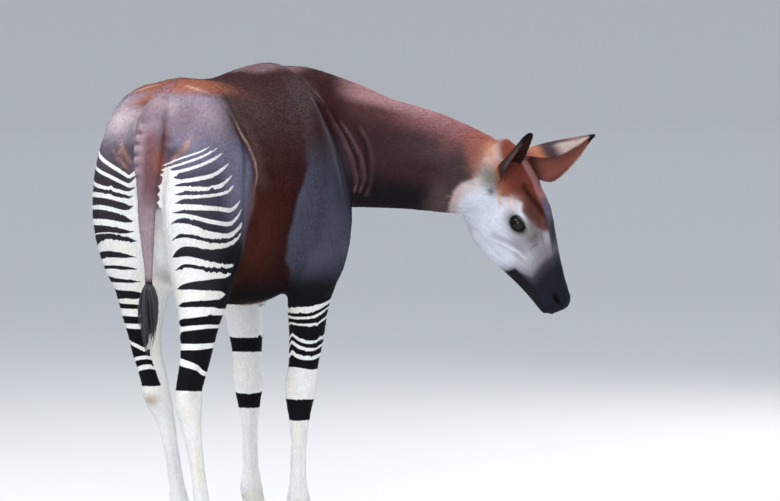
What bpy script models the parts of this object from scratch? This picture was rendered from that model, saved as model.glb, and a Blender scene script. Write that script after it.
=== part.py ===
"""An okapi at life size, standing with its neck bent to its own right and its head lowered.

Metres, +Z up. The animal faces -Y, so its right side is -X. Sizes are given in the animal's own
directions: forward, right and up, from a point on the floor under the middle of the trunk.
The soft body is modelled whole from tapered forms, which are fused, smoothed and parted with
thin cuts. Ears, eyes, tail, tuft and hooves are modelled by themselves and fitted to it.
"""

import math

import bmesh
import bpy
import numpy as np
from mathutils import Matrix, Vector
from mathutils.bvhtree import BVHTree

GAP = 0.0003  # left between neighbouring nodes

# ------------------------------------------------------------------- the body's driving sizes
WITHERS = 1.498
CROUP = 1.459
BELLY = 0.765

# Grain of each fused form, steps of smoothing, and the triangles that it is thinned to
BODY_GRAIN, BODY_BLENDING, BODY_SMOOTHING, BODY_TRIANGLES = 0.009, 20, 30, 4900
HEAD_GRAIN, HEAD_BLENDING, HEAD_SMOOTHING, HEAD_TRIANGLES = 0.004, 8, 10, 2700

# Trunk: forward, level of the widest point, height over it and depth under it, half width
TRUNK = (
    (-0.575, 1.185, 0.090, 0.060, 0.040),
    (-0.550, 1.185, 0.165, 0.160, 0.090),
    (-0.500, 1.180, 0.228, 0.250, 0.147),
    (-0.42, 1.17, CROUP - 1.17, 0.290, 0.191),
    (-0.30, 1.15, CROUP - 1.15, 0.310, 0.215),
    (-0.15, 1.12, 1.462 - 1.12, 0.320, 0.225),
    (-0.02, 1.10, 1.472 - 1.10, 0.328, 0.235),
    (0.10, 1.09, 1.487 - 1.09, 1.09 - BELLY, 0.232),
    (0.22, 1.09, WITHERS - 1.09, 0.305, 0.208),
    (0.33, 1.10, 1.503 - 1.10, 0.275, 0.175),
    (0.42, 1.12, 1.482 - 1.12, 0.235, 0.135),
    (0.50, 1.14, 0.235, 0.180, 0.080),
)

# Neck: forward, right, level, height over and depth under that, half width
NECK = (
    (0.16, -0.01, 1.270, 0.190, 0.240, 0.100),
    (0.30, 0.00, 1.265, 0.225, 0.240, 0.125),
    (0.41, 0.04, 1.250, 0.235, 0.230, 0.125),
    (0.500, 0.120, 1.235, 0.211, 0.200, 0.112),
    (0.565, 0.230, 1.205, 0.186, 0.170, 0.100),
    (0.620, 0.360, 1.175, 0.175, 0.145, 0.090),
    (0.665, 0.500, 1.140, 0.146, 0.122, 0.080),
    (0.700, 0.610, 1.110, 0.112, 0.105, 0.072),
)

# Legs: forward, right, level, half length to the front and to the back, half width
FORE_RIGHT = (
    (0.24, 0.080, 1.43, 0.060, 0.070, 0.035),
    (0.28, 0.105, 1.33, 0.110, 0.115, 0.055),
    (0.32, 0.122, 1.20, 0.140, 0.150, 0.068),
    (0.33, 0.134, 1.07, 0.160, 0.170, 0.078),
    (0.28, 0.148, 0.95, 0.148, 0.145, 0.080),
    (0.235, 0.151, 0.86, 0.124, 0.115, 0.074),
    (0.222, 0.145, 0.76, 0.080, 0.082, 0.060),
    (0.215, 0.141, 0.66, 0.062, 0.060, 0.053),
    (0.200, 0.138, 0.575, 0.050, 0.047, 0.046),
    (0.185, 0.135, 0.505, 0.053, 0.045, 0.050),
    (0.182, 0.133, 0.440, 0.039, 0.040, 0.039),
    (0.180, 0.131, 0.340, 0.025, 0.032, 0.027),
    (0.178, 0.130, 0.230, 0.025, 0.032, 0.028),
    (0.180, 0.130, 0.165, 0.034, 0.040, 0.037),
    (0.203, 0.130, 0.110, 0.029, 0.033, 0.036),
    (0.222, 0.130, 0.060, 0.040, 0.042, 0.044),
    (0.230, 0.130, 0.030, 0.042, 0.042, 0.045),
)
HIND_RIGHT = (
    (-0.36, 0.060, 1.420, 0.055, 0.060, 0.040),
    (-0.37, 0.095, 1.365, 0.090, 0.090, 0.075),
    (-0.40, 0.106, 1.285, 0.130, 0.135, 0.089),
    (-0.42, 0.110, 1.19, 0.165, 0.175, 0.097),
    (-0.450, 0.115, 1.07, 0.180, 0.160, 0.105),
    (-0.445, 0.115, 0.96, 0.180, 0.140, 0.100),
    (-0.455, 0.116, 0.86, 0.135, 0.110, 0.080),
    (-0.485, 0.124, 0.75, 0.080, 0.074, 0.056),
    (-0.520, 0.132, 0.65, 0.052, 0.058, 0.043),
    (-0.548, 0.128, 0.57, 0.042, 0.056, 0.038),
    (-0.548, 0.125, 0.52, 0.040, 0.056, 0.038),
    (-0.528, 0.122, 0.45, 0.031, 0.034, 0.031),
    (-0.490, 0.119, 0.34, 0.023, 0.028, 0.0235),
    (-0.455, 0.117, 0.23, 0.023, 0.029, 0.0245),
    (-0.435, 0.117, 0.165, 0.031, 0.038, 0.034),
    (-0.405, 0.117, 0.110, 0.028, 0.032, 0.035),
    (-0.388, 0.117, 0.060, 0.040, 0.042, 0.044),
    (-0.380, 0.117, 0.030, 0.042, 0.042, 0.045),
)
# The left legs stand ahead of the right ones: level, how far ahead and how far out they are there
FORE_LEFT_LEAD = (
    (1.10, 0.0, 0.0),
    (0.95, 0.060, 0.004),
    (0.76, 0.145, 0.010),
    (0.66, 0.175, 0.011),
    (0.50, 0.210, 0.010),
    (0.03, 0.222, 0.006),
)
HIND_LEFT_LEAD = (
    (1.19, 0.0, 0.0),
    (0.96, 0.035, 0.0),
    (0.75, 0.115, -0.008),
    (0.65, 0.160, -0.022),
    (0.57, 0.200, -0.036),
    (0.45, 0.245, -0.030),
    (0.34, 0.254, -0.026),
    (0.03, 0.270, -0.017),
)

# ------------------------------------------------------------------- the head
# The poll, the way the nose points and the way the forehead faces
POLL = (0.690, 0.590, 1.245)
NOSE_WAY = (0.141, 0.316, -0.938)
BROW_WAY = (-0.040, 0.948, 0.3135)
# Along the head from the poll: upper outline, lower outline, half width, all from its axis
HEAD = (
    (-0.01, 0.020, -0.120, 0.055),
    (0.04, 0.052, -0.160, 0.073),
    (0.10, 0.066, -0.184, 0.083),
    (0.17, 0.070, -0.200, 0.086),
    (0.23, 0.076, -0.202, 0.083),
    (0.29, 0.075, -0.181, 0.072),
    (0.35, 0.063, -0.148, 0.057),
    (0.41, 0.051, -0.117, 0.047),
    (0.46, 0.043, -0.094, 0.043),
    (0.505, 0.039, -0.076, 0.043),
    (0.535, 0.033, -0.061, 0.039),
    (0.556, 0.016, -0.042, 0.028),
)
EYE_ALONG, EYE_UP, EYE_OUT, EYE_RADIUS = 0.250, -0.010, 0.061, 0.0250
LID_THICKNESS = 0.005
# The slit between the lids: half its length and height, and how far it rises towards the nose
SLIT_LENGTH, SLIT_HEIGHT, SLIT_RISE = 0.0285, 0.0210, 0.22
# Line of the mouth, from its corner to the middle of the lips: along the head, and up
MOUTH = ((0.424, -0.060), (0.450, -0.053), (0.480, -0.049), (0.510, -0.046), (0.560, -0.041))
MOUTH_DEPTH, MOUTH_GAPE, LIP = 0.007, 0.0030, 0.010
# Nostril: its two ends, along the head and up, and its half height and depth
NOSTRIL = ((0.489, 0.003), (0.531, 0.019))
NOSTRIL_HALF, NOSTRIL_DEPTH = 0.0060, 0.013

# Each ear: root in the head (along, up, out), the way it points, the way its cup opens, and how
# far the cup stands off its straight back
EAR_LENGTH, EAR_THICKNESS = 0.252, 0.0045
EAR_RIGHT = ((0.098, -0.007, 0.052), (-0.098, 0.182, 0.128), (0.89, 0.45, 0.05), 0.25)
EAR_LEFT = ((0.044, 0.026, -0.049), (0.028, 0.157, -0.124), (0.79, 0.25, 0.55), 1.0)
# Along each ear: share of its length, half width, depth of its back and of its cup
EAR_RIGHT_ROWS = (
    (-0.12, 0.034, 0.036, -0.012),
    (0.04, 0.044, 0.046, 0.000),
    (0.16, 0.050, 0.044, 0.026),
    (0.30, 0.053, 0.034, 0.028),
    (0.50, 0.048, 0.024, 0.019),
    (0.70, 0.038, 0.019, 0.014),
    (0.86, 0.028, 0.016, 0.011),
    (0.96, 0.017, 0.011, 0.007),
    (1.00, 0.008, 0.006, 0.002),
)
EAR_LEFT_ROWS = (
    (-0.15, 0.034, 0.030, -0.010),
    (0.00, 0.044, 0.052, 0.000),
    (0.14, 0.058, 0.080, 0.062),
    (0.30, 0.065, 0.097, 0.089),
    (0.44, 0.062, 0.089, 0.082),
    (0.60, 0.050, 0.068, 0.062),
    (0.76, 0.035, 0.044, 0.039),
    (0.90, 0.018, 0.018, 0.014),
    (1.00, 0.005, 0.004, 0.001),
)

# ------------------------------------------------------------------- tail and hooves
TAIL = (
    (-0.470, 0.000, 1.372, 0.036, 0.036, 0.038),
    (-0.550, 0.006, 1.325, 0.036, 0.032, 0.046),
    (-0.597, 0.020, 1.245, 0.028, 0.026, 0.046),
    (-0.606, 0.020, 1.140, 0.023, 0.021, 0.034),
    (-0.606, 0.019, 1.020, 0.020, 0.017, 0.025),
    (-0.600, 0.021, 0.920, 0.013, 0.012, 0.016),
    (-0.598, 0.021, 0.845, 0.011, 0.010, 0.012),
)
TUFT_TOP = 0.860
TAIL_ROOM = 0.003
# The tuft: length of its body and of its few long wisps, how wide it swells, number of locks
TUFT_LENGTH, WISP_LENGTH, TUFT_RADIUS, TUFT_LOCKS = 0.145, 0.225, 0.038, 12
CORONET, HOOF_LENGTH, HOOF_HALF_WIDTH, CLEFT = 0.058, 0.108, 0.0265, 0.007


def at(forward, right, up):
    """A point or a way of the animal, from its own directions."""
    return Vector((-right, -forward, up))


UP = at(0, 0, 1)
FORWARD = at(1, 0, 0)


def head_axes():
    """The head's origin, and the ways along it to the nose, up to its forehead and out right."""
    along = at(*NOSE_WAY).normalized()
    up = at(*BROW_WAY)
    up = (up - along * up.dot(along)).normalized()
    return at(*POLL), along, up, along.cross(up)


def on_head(along, up, out):
    origin, x, y, z = head_axes()
    return origin + x * along + y * up + z * out


def head_way(along, up, out):
    return (on_head(along, up, out) - on_head(0, 0, 0)).normalized()


# ------------------------------------------------------------------- tools for forms
def as_object(name, mesh):
    mesh.normal_update()
    bmesh.ops.recalc_face_normals(mesh, faces=mesh.faces)
    data = bpy.data.meshes.new(name)
    mesh.to_mesh(data)
    mesh.free()
    obj = bpy.data.objects.new(name, data)
    bpy.context.scene.collection.objects.link(obj)
    return obj


def smooth_rows(rows, steps):
    """Rows of numbers, each two joined by a smooth curve in so many steps (Catmull-Rom)."""
    rows = np.array(rows, float)
    padded = np.vstack([2 * rows[0] - rows[1], rows, 2 * rows[-1] - rows[-2]])
    found = []
    for i in range(1, len(padded) - 2):
        a, b, c, d = padded[i - 1 : i + 3]
        for t in np.arange(steps) / steps:
            bend = (2 * a - 5 * b + 4 * c - d) * t**2 + (3 * b - a - 3 * c + d) * t**3
            found.append(0.5 * (2 * b + (c - a) * t + bend))
    found.append(rows[-1])
    return np.array(found)


def loft(name, rings):
    """A closed form through rings of equally many points."""
    mesh = bmesh.new()
    rings = [[mesh.verts.new(point) for point in ring] for ring in rings]
    for low, high in zip(rings, rings[1:]):
        for k in range(len(low)):
            mesh.faces.new((low[k], low[k - 1], high[k - 1], high[k]))
    mesh.faces.new(rings[0])
    mesh.faces.new(rings[-1])
    return as_object(name, mesh)


def tube(name, rows, rise, sides=28, steps=5, squareness=2.2):
    """A closed form round a path: each row is a point and the half sizes up, down and across.

    rise is the way that counts as up, as far as it is square to the path.
    """
    rows = smooth_rows(rows, steps)
    centres = rows[:, :3]
    along = np.gradient(centres, axis=0)
    along /= np.linalg.norm(along, axis=1, keepdims=True)
    rise = np.array(rise)[None] - (along @ np.array(rise))[:, None] * along
    rise /= np.linalg.norm(rise, axis=1, keepdims=True)
    across = np.cross(rise, along)
    turn = np.arange(sides) * 2 * math.pi / sides
    wide = np.sign(np.sin(turn)) * np.abs(np.sin(turn)) ** (2 / squareness)
    tall = np.sign(np.cos(turn)) * np.abs(np.cos(turn)) ** (2 / squareness)
    rings = []
    for centre, x, y, (up, down, half) in zip(centres, across, rise, rows[:, 3:6]):
        reach = np.where(tall > 0, up, down) * tall
        rings.append(centre + np.outer(wide * half, x) + np.outer(reach, y))
    return loft(name, rings)


def ball(name, centre, radii, axes=((1, 0, 0), (0, 1, 0), (0, 0, 1)), segments=24):
    """An ellipsoid with its half sizes along three axes."""
    mesh = bmesh.new()
    bmesh.ops.create_uvsphere(mesh, u_segments=segments, v_segments=segments // 2, radius=1)
    turn = Matrix([Vector(a).normalized() * r for a, r in zip(axes, radii)]).transposed()
    for vertex in mesh.verts:
        vertex.co = turn @ vertex.co + Vector(centre)
    return as_object(name, mesh)


def block(name, corner, edges):
    """A box, upright or leaning, from one corner and the three edges that meet there."""
    mesh = bmesh.new()
    bmesh.ops.create_cube(mesh, size=1)
    for vertex in mesh.verts:
        shares = [value + 0.5 for value in vertex.co]
        vertex.co = corner + sum((edge * share for edge, share in zip(edges, shares)), Vector())
    return as_object(name, mesh)


def bake(obj):
    """Turns an object's modifiers into its mesh."""
    graph = bpy.context.evaluated_depsgraph_get()
    mesh = bpy.data.meshes.new_from_object(obj.evaluated_get(graph))
    old = obj.data
    obj.modifiers.clear()
    obj.data = mesh
    bpy.data.meshes.remove(old)


def joined(name, objects):
    mesh = bmesh.new()
    for obj in objects:
        mesh.from_mesh(obj.data)
        bpy.data.objects.remove(obj)
    return as_object(name, mesh)


def copied(name, obj):
    copy = bpy.data.objects.new(name, obj.data.copy())
    bpy.context.scene.collection.objects.link(copy)
    return copy


def combine(obj, other, operation, solver="EXACT"):
    """Cuts, keeps or adds by a Boolean with another object, which is used up."""
    modifier = obj.modifiers.new("combine", "BOOLEAN")
    modifier.operation = operation
    modifier.object = other
    modifier.solver = solver
    bake(obj)
    bpy.data.objects.remove(other)
    keep_largest(obj)


def swell(obj, by):
    """Moves a surface out a little along its normals."""
    mesh = bmesh.new()
    mesh.from_mesh(obj.data)
    mesh.normal_update()
    moved = [vertex.co + vertex.normal * by for vertex in mesh.verts]
    for vertex, place in zip(mesh.verts, moved):
        vertex.co = place
    mesh.to_mesh(obj.data)
    mesh.free()
    return obj


def keep_largest(obj):
    """Keeps only the largest closed surface of a mesh."""
    mesh = bmesh.new()
    mesh.from_mesh(obj.data)
    left = set(mesh.verts)
    groups = []
    while left:
        group = {left.pop()}
        front = list(group)
        while front:
            vertex = front.pop()
            for edge in vertex.link_edges:
                other = edge.other_vert(vertex)
                if other in left:
                    left.remove(other)
                    group.add(other)
                    front.append(other)
        groups.append(group)
    groups.sort(key=len)
    bmesh.ops.delete(mesh, geom=[v for group in groups[:-1] for v in group], context="VERTS")
    mesh.to_mesh(obj.data)
    mesh.free()


def fuse(obj, grain):
    modifier = obj.modifiers.new("fuse", "REMESH")
    modifier.mode = "VOXEL"
    modifier.voxel_size = grain
    bake(obj)


def relax(obj, steps, weight=None, push=0.53):
    """Smooths a mesh by turns pulling its points in and pushing them out, so as not to shrink it."""
    mesh = obj.data
    points = np.empty(len(mesh.vertices) * 3)
    mesh.vertices.foreach_get("co", points)
    points = points.reshape(-1, 3)
    edges = np.empty(len(mesh.edges) * 2, int)
    mesh.edges.foreach_get("vertices", edges)
    a, b = edges.reshape(-1, 2).T
    count = np.bincount(np.r_[a, b], minlength=len(points))[:, None]
    share = 1.0 if weight is None else weight(points)[:, None]
    for step in range(2 * steps):
        total = np.zeros_like(points)
        for axis in range(3):
            total[:, axis] += np.bincount(a, points[b, axis], len(points))
            total[:, axis] += np.bincount(b, points[a, axis], len(points))
        points += share * (0.5 if step % 2 == 0 else -push) * (total / count - points)
    mesh.vertices.foreach_set("co", points.ravel())
    mesh.update()


def thin(obj, triangles):
    modifier = obj.modifiers.new("thin", "DECIMATE")
    count = sum(len(polygon.vertices) - 2 for polygon in obj.data.polygons)
    modifier.ratio = min(1.0, triangles / count)
    modifier.use_collapse_triangulate = True
    bake(obj)


# ------------------------------------------------------------------- trunk, neck and legs
def trunk():
    rows = [(*at(f, 0, z), up, down, half) for f, z, up, down, half in TRUNK]
    return tube("trunk", rows, UP, sides=40)


def neck():
    rows = [(*at(f, r, z), up, down, half) for f, r, z, up, down, half in NECK]
    return tube("neck", rows, UP, sides=32)


def leg(rows, side=1, lead=None):
    rows = np.array(rows, float)
    if lead:
        levels, ahead, out = np.array(lead)[::-1].T
        rows[:, 0] += np.interp(rows[:, 2], levels, ahead)
        rows[:, 1] += np.interp(rows[:, 2], levels, out)
    rows = [(*at(f, side * r, z), front, back, half) for f, r, z, front, back, half in rows]
    return tube("leg", rows, FORWARD, sides=24)


def belly_fold():
    return ball("fold", at(0.19, 0.0, 0.790), (0.022, 0.034, 0.040))


def make_body():
    legs = [
        leg(FORE_RIGHT),
        leg(FORE_RIGHT, -1, FORE_LEFT_LEAD),
        leg(HIND_RIGHT),
        leg(HIND_RIGHT, -1, HIND_LEFT_LEAD),
    ]
    body = joined("body", [trunk(), neck(), belly_fold(), *legs])
    fuse(body, BODY_GRAIN)
    relax(body, BODY_BLENDING, lambda points: np.interp(points[:, 2], (0.80, 0.95), (0.0, 1.0)), 0)
    relax(body, BODY_SMOOTHING, lambda points: np.interp(points[:, 2], (0.60, 0.85), (0.35, 1.0)))
    thin(body, BODY_TRIANGLES)
    return body


# ------------------------------------------------------------------- head
def skull_form():
    rows = []
    for along, top, bottom, half in HEAD:
        middle = (top + bottom) / 2 + 0.02
        rows.append((*on_head(along, middle, 0), top - middle, middle - bottom, half))
    return tube("skull", rows, head_way(0, 1, 0), sides=32, squareness=2.3)


def head_ball(along, up, out, length, depth, width):
    axes = (head_way(1, 0, 0), head_way(0, 1, 0), head_way(0, 0, 1))
    return ball("form", on_head(along, up, out), (length, depth, width), axes)


def make_head():
    forms = [skull_form()]
    nape = [(*at(f, r, z), up, down, half) for f, r, z, up, down, half in NECK[-3:]]
    forms.append(tube("nape", nape, UP))
    for side in (-1, 1):
        forms.append(head_ball(0.240, 0.006, side * 0.050, 0.076, 0.056, 0.030))
        forms.append(head_ball(0.175, -0.110, side * 0.048, 0.090, 0.075, 0.036))
        forms.append(head_ball(0.150, 0.038, side * 0.028, 0.052, 0.029, 0.026))
        forms.append(head_ball(EYE_ALONG, EYE_UP, side * EYE_OUT, *(EYE_RADIUS + LID_THICKNESS,) * 3))
        forms.append(head_ball(0.520, 0.004, side * 0.024, 0.036, 0.027, 0.021))
        forms += [lip(side, LIP, 0.6), lip(side, -LIP, 1.0)]
    head = joined("head", forms)
    fuse(head, HEAD_GRAIN)
    relax(head, HEAD_BLENDING, push=0)
    relax(head, HEAD_SMOOTHING)
    thin(head, HEAD_TRIANGLES)
    return head


def mouth_way(share):
    """A place on the line of the mouth, on the head's middle plane, and the way out from it."""
    along, up = (np.interp(share, np.linspace(0, 1, len(MOUTH)), row) for row in zip(*MOUTH))
    turn = math.pi / 2 * max(0.0, (share - 0.45) / 0.55) ** 1.3
    back = min(along, 0.520)
    return on_head(back, up, 0), math.sin(turn), math.cos(turn)


def lip(side, shift, size):
    """The swelling of one half of a lip, over or under the line of the mouth."""
    rows = []
    for along, up in MOUTH[:-1]:
        half = np.interp(along, *zip(*((row[0], row[3]) for row in HEAD)))
        rows.append((*on_head(along, up + shift, side * (half - 0.012)), *(LIP * size,) * 3))
    rows.append((*on_head(0.545, MOUTH[-1][1] + shift, side * 0.012), *(LIP * size,) * 3))
    return tube("lip", rows, head_way(0, 1, 0), sides=12, steps=3)


def open_mouth(head):
    """Cuts the line of the mouth as a groove, from one corner round the lips to the other."""
    surface = BVHTree.FromPolygons(
        [vertex.co for vertex in head.data.vertices],
        [polygon.vertices for polygon in head.data.polygons],
    )
    rings = []
    rise = head_way(0, 1, 0)
    for share in np.r_[np.linspace(0, 1, 12), np.linspace(1, 0, 12)[1:]]:
        side = 1 if len(rings) < 12 else -1
        middle, ahead, across = mouth_way(share)
        way = head_way(ahead, 0, side * across) if ahead < 1 else head_way(1, 0, 0)
        place = surface.ray_cast(middle, way)[0]
        fade = min(1.0, 0.25 + 3 * share)
        lip_edge = place + way * 0.004
        rings.append(
            (
                lip_edge + rise * MOUTH_GAPE * fade,
                lip_edge - rise * MOUTH_GAPE * fade,
                place - way * MOUTH_DEPTH * fade,
            )
        )
    combine(head, loft("mouth", rings), "DIFFERENCE")


def open_nostril(head, side):
    (back, low), (front, high) = NOSTRIL
    surface = BVHTree.FromPolygons(
        [vertex.co for vertex in head.data.vertices],
        [polygon.vertices for polygon in head.data.polygons],
    )
    middle = on_head((back + front) / 2, (low + high) / 2, 0)
    way = head_way(0.25, 0, side)
    place = surface.ray_cast(middle, way)[0]
    axes = (head_way(front - back, high - low, -0.010 * side), head_way(0, 1, 0), way)
    radii = ((front - back) / 2, NOSTRIL_HALF, NOSTRIL_DEPTH)
    combine(head, ball("nostril", place, radii, axes, 14), "DIFFERENCE")


def eye_place(side):
    return on_head(EYE_ALONG, EYE_UP, side * EYE_OUT)


def open_eye(head, side):
    """Cuts the slit between the lids, and then the ball's socket behind it."""
    axes = (head_way(1, SLIT_RISE, 0), head_way(-SLIT_RISE, 1, 0), head_way(0, 0, 1))
    place = eye_place(side) + head_way(0, 0.25, side) * 0.026
    slit = ball("slit", place, (SLIT_LENGTH, SLIT_HEIGHT, 0.022), axes, 20)
    combine(head, slit, "DIFFERENCE")
    combine(head, ball("socket", eye_place(side), (EYE_RADIUS + GAP,) * 3, segments=18), "DIFFERENCE")


def make_eye(name, side):
    return ball(name, eye_place(side), (EYE_RADIUS,) * 3, segments=18)


# ------------------------------------------------------------------- ears
def make_ear(name, root, way, opening, stand_off, rows, head):
    """A cupped shell: each ring runs along the back of the ear and returns inside its cup."""
    axis = head_way(*way)
    cup = head_way(*opening)
    cup = (cup - axis * cup.dot(axis)).normalized()
    across = axis.cross(cup)
    spread = np.linspace(-1, 1, 9)
    rings = []
    for share, half, back, inside in smooth_rows(rows, 2):
        centre = on_head(*root) + axis * EAR_LENGTH * share + cup * back * stand_off
        inner_half = max(half - EAR_THICKNESS, half * 0.4)
        ring = []
        for a in spread:
            ring.append(centre + across * half * a - cup * back * (1 - abs(a) ** 2.6))
        for a in spread[::-1]:
            depth = inside * (1 - abs(a) ** 2.6) - EAR_THICKNESS / 2
            ring.append(centre + across * inner_half * a - cup * depth)
        rings.append(ring)
    ear = loft(name, rings)
    combine(ear, swell(copied("face", head), GAP), "DIFFERENCE")
    return ear


# ------------------------------------------------------------------- tail
def tail_form(name, rows, room=0.0, behind=0.0):
    rows = [
        (*at(f, r, z), front + room, back + behind, half + room)
        for f, r, z, front, back, half in rows
    ]
    return tube(name, rows, FORWARD, sides=12, steps=3)


def clear_tail(body):
    """Opens a cleft between the thighs for the tail, below its root."""
    combine(body, tail_form("room", TAIL[2:], TAIL_ROOM, 0.1), "DIFFERENCE")


def make_tail(body):
    tail = tail_form("tail", TAIL)
    cut_above(tail, UP * (TUFT_TOP + GAP), -UP)
    combine(tail, swell(copied("rump", body), GAP), "DIFFERENCE")
    return tail


def lock(turn, length, width, start):
    """One flat, tapered lock of the tuft that bends out and falls."""
    way = FORWARD * math.cos(turn) + at(0, 1, 0) * math.sin(turn)
    side = FORWARD * -math.sin(turn) + at(0, 1, 0) * math.cos(turn)
    forward, right = TAIL[-1][:2]
    top = at(forward, right, TUFT_TOP - start)
    rings = []
    for share, out, wide, thick in (
        (0.00, 0.002, 0.55, 0.004),
        (0.22, 0.70, 1.00, 0.004),
        (0.50, 0.92, 0.95, 0.0035),
        (0.80, 0.42, 0.55, 0.0028),
        (1.00, 0.15, 0.14, 0.0015),
    ):
        centre = top - UP * length * share + way * TUFT_RADIUS * 0.62 * out
        half = width * wide
        corners = ((1, 0), (0, 1), (-1, 0), (0, -1))
        rings.append([centre + side * half * a + way * thick * b for a, b in corners])
    return loft("lock", rings)


def make_tuft():
    draw = np.random.default_rng(6)
    forward, right = TAIL[-1][:2]
    core = [
        (*at(forward, right, TUFT_TOP - drop), size, size, size)
        for drop, size in ((0.0, 0.009), (0.03, 0.014), (0.07, 0.015), (0.11, 0.006))
    ]
    tuft = tube("tail_tuft", core, FORWARD, sides=10, steps=2, squareness=2)
    pieces = bpy.data.collections.new("locks")
    for k in range(TUFT_LOCKS):
        turn = 2 * math.pi * (k + draw.uniform(-0.25, 0.25)) / TUFT_LOCKS
        length = (WISP_LENGTH if k % 4 == 1 else TUFT_LENGTH) * draw.uniform(0.8, 1.0)
        piece = lock(turn, length, draw.uniform(0.009, 0.012), draw.uniform(0.004, 0.02))
        pieces.objects.link(piece)
    modifier = tuft.modifiers.new("locks", "BOOLEAN")
    modifier.operation = "UNION"
    modifier.operand_type = "COLLECTION"
    modifier.collection = pieces
    modifier.solver = "MANIFOLD"
    bake(tuft)
    for piece in list(pieces.objects):
        bpy.data.objects.remove(piece)
    bpy.data.collections.remove(pieces)
    keep_largest(tuft)
    return tuft


# ------------------------------------------------------------------- hooves
def coronet_plane(foot):
    """The slanted plane where a leg ends and its hooves begin: a point and its normal."""
    forward, right = foot
    return at(forward - 0.012, right, CORONET), at(-0.30, 0, 1).normalized()


def make_claw(name, foot, inner):
    """Half of a cloven hoof, with a flat sole on the floor. inner is -1 or 1, by its side."""
    forward, right = foot
    point, normal = coronet_plane(foot)
    rings = []
    for share in (0.0, 0.12, 1.0, 1.5):
        level = CORONET * share
        sunk = max(share - 0.12, 0)
        toe = HOOF_LENGTH * (0.56 - 0.21 * sunk)
        heel = HOOF_LENGTH * (0.44 - 0.06 * sunk)
        wide = HOOF_HALF_WIDTH * (1.0 - 0.13 * sunk) * (0.97 if share == 0 else 1)
        ring = []
        for k in range(16):
            turn = 2 * math.pi * k / 16
            c, s = math.cos(turn), math.sin(turn)
            reach = (toe if c > 0 else heel) * np.sign(c) * abs(c) ** 0.8
            half = wide * np.sign(s) * abs(s) ** (0.75 if c < 0 else 1.0)
            lean = inner * half
            across = max(lean, -wide * 0.82) * inner
            ring.append(at(forward + reach, right + inner * (CLEFT / 2 + wide * 0.82) + across, level))
        rings.append(ring)
    claw = loft(name, rings)
    cut_above(claw, point - normal * GAP, normal)
    return claw


def cut_above(obj, point, normal):
    """Takes away what lies past a plane, and closes the cut."""
    mesh = bmesh.new()
    mesh.from_mesh(obj.data)
    parts = mesh.verts[:] + mesh.edges[:] + mesh.faces[:]
    cut = bmesh.ops.bisect_plane(
        mesh, geom=parts, plane_co=point, plane_no=normal, clear_outer=True, dist=1e-6
    )
    rim = [piece for piece in cut["geom_cut"] if isinstance(piece, bmesh.types.BMEdge)]
    bmesh.ops.edgeloop_fill(mesh, edges=rim)
    bmesh.ops.recalc_face_normals(mesh, faces=mesh.faces)
    mesh.to_mesh(obj.data)
    mesh.free()


def feet():
    """Each foot's name and the place of its coronet: forward, right."""
    found = {}
    for end, rows, lead in (
        ("fore", FORE_RIGHT, FORE_LEFT_LEAD),
        ("hind", HIND_RIGHT, HIND_LEFT_LEAD),
    ):
        forward, right = rows[-1][:2]
        found[end + "_right"] = (forward, right)
        found[end + "_left"] = (forward + lead[-1][1], -right - lead[-1][2])
    return found


# ------------------------------------------------------------------- parting the body
def part_off(body, name, cutter):
    """Splits off what lies inside a box as a node of its own, with the thin gap round it."""
    piece = copied(name, body)
    combine(body, copied("cutter", cutter), "DIFFERENCE")
    combine(piece, swell(cutter, -2 * GAP), "INTERSECT")
    return piece


def box_ahead(name, place, facing, reach, half_height, half_width):
    """A box with its back in the plane through a place, and reaching out ahead of it."""
    facing = facing.normalized()
    side = facing.cross(UP).normalized()
    rise = side.cross(facing)
    corner = place - side * half_width - rise * half_height
    return block(name, corner, (facing * reach, side * half_width * 2, rise * half_height * 2))


def head_box():
    """Holds all of the head past the plane behind the poll and the throat."""
    return box_ahead("head_box", on_head(0.035, -0.075, 0), head_way(0.74, 0.67, 0), 0.9, 0.4, 0.4)


def neck_box():
    return box_ahead("neck_box", at(0.475, 0.10, 1.24), at(0.62, 0.78, -0.10), 0.9, 0.25, 0.32)


def fore_box(side):
    ahead = 0 if side > 0 else 0.05
    corner = at(0.105 + ahead, side * 0.05, 0.93)
    return block("fore_box", corner, (at(0.50, 0, 0.05), at(0, side * 0.3, 0), at(2 * ahead, 0, -0.95)))


def hind_box(side):
    corner = at(-0.21, side * 0.03, 0.87)
    return block("hind_box", corner, (at(-0.85, 0, 0.20), at(0, side * 0.32, 0), at(0.46, 0, -1.14)))


# ------------------------------------------------------------------- finish
def material(name, colour, roughness):
    found = bpy.data.materials.new(name)
    found.use_nodes = True
    shader = found.node_tree.nodes["Principled BSDF"]
    shader.inputs["Base Color"].default_value = (*colour, 1)
    shader.inputs["Roughness"].default_value = roughness
    shader.inputs["Metallic"].default_value = 0
    return found


LOOKS = {
    "torso": ((0.085, 0.022, 0.014), 0.55),
    "neck": ((0.120, 0.030, 0.020), 0.55),
    "head": ((0.380, 0.330, 0.320), 0.60),
    "ear": ((0.060, 0.030, 0.024), 0.60),
    "eye": ((0.006, 0.005, 0.006), 0.08),
    "tail": ((0.110, 0.028, 0.020), 0.60),
    "tail_tuft": ((0.012, 0.012, 0.015), 0.65),
    "leg": ((0.520, 0.480, 0.420), 0.65),
    "hoof": ((0.045, 0.038, 0.034), 0.45),
}


def finish(obj):
    """Gives a node its material, smooth shading and the frame's place."""
    key = obj.name if obj.name in LOOKS else obj.name.split("_")[0]
    obj.data.materials.clear()
    obj.data.materials.append(material(obj.name, *LOOKS[key]))
    for polygon in obj.data.polygons:
        polygon.material_index = 0
    obj.data.shade_smooth()
    if key in ("hoof", "torso", "neck", "head", "leg"):
        obj.data.set_sharp_from_angle(angle=math.radians(50))


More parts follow.
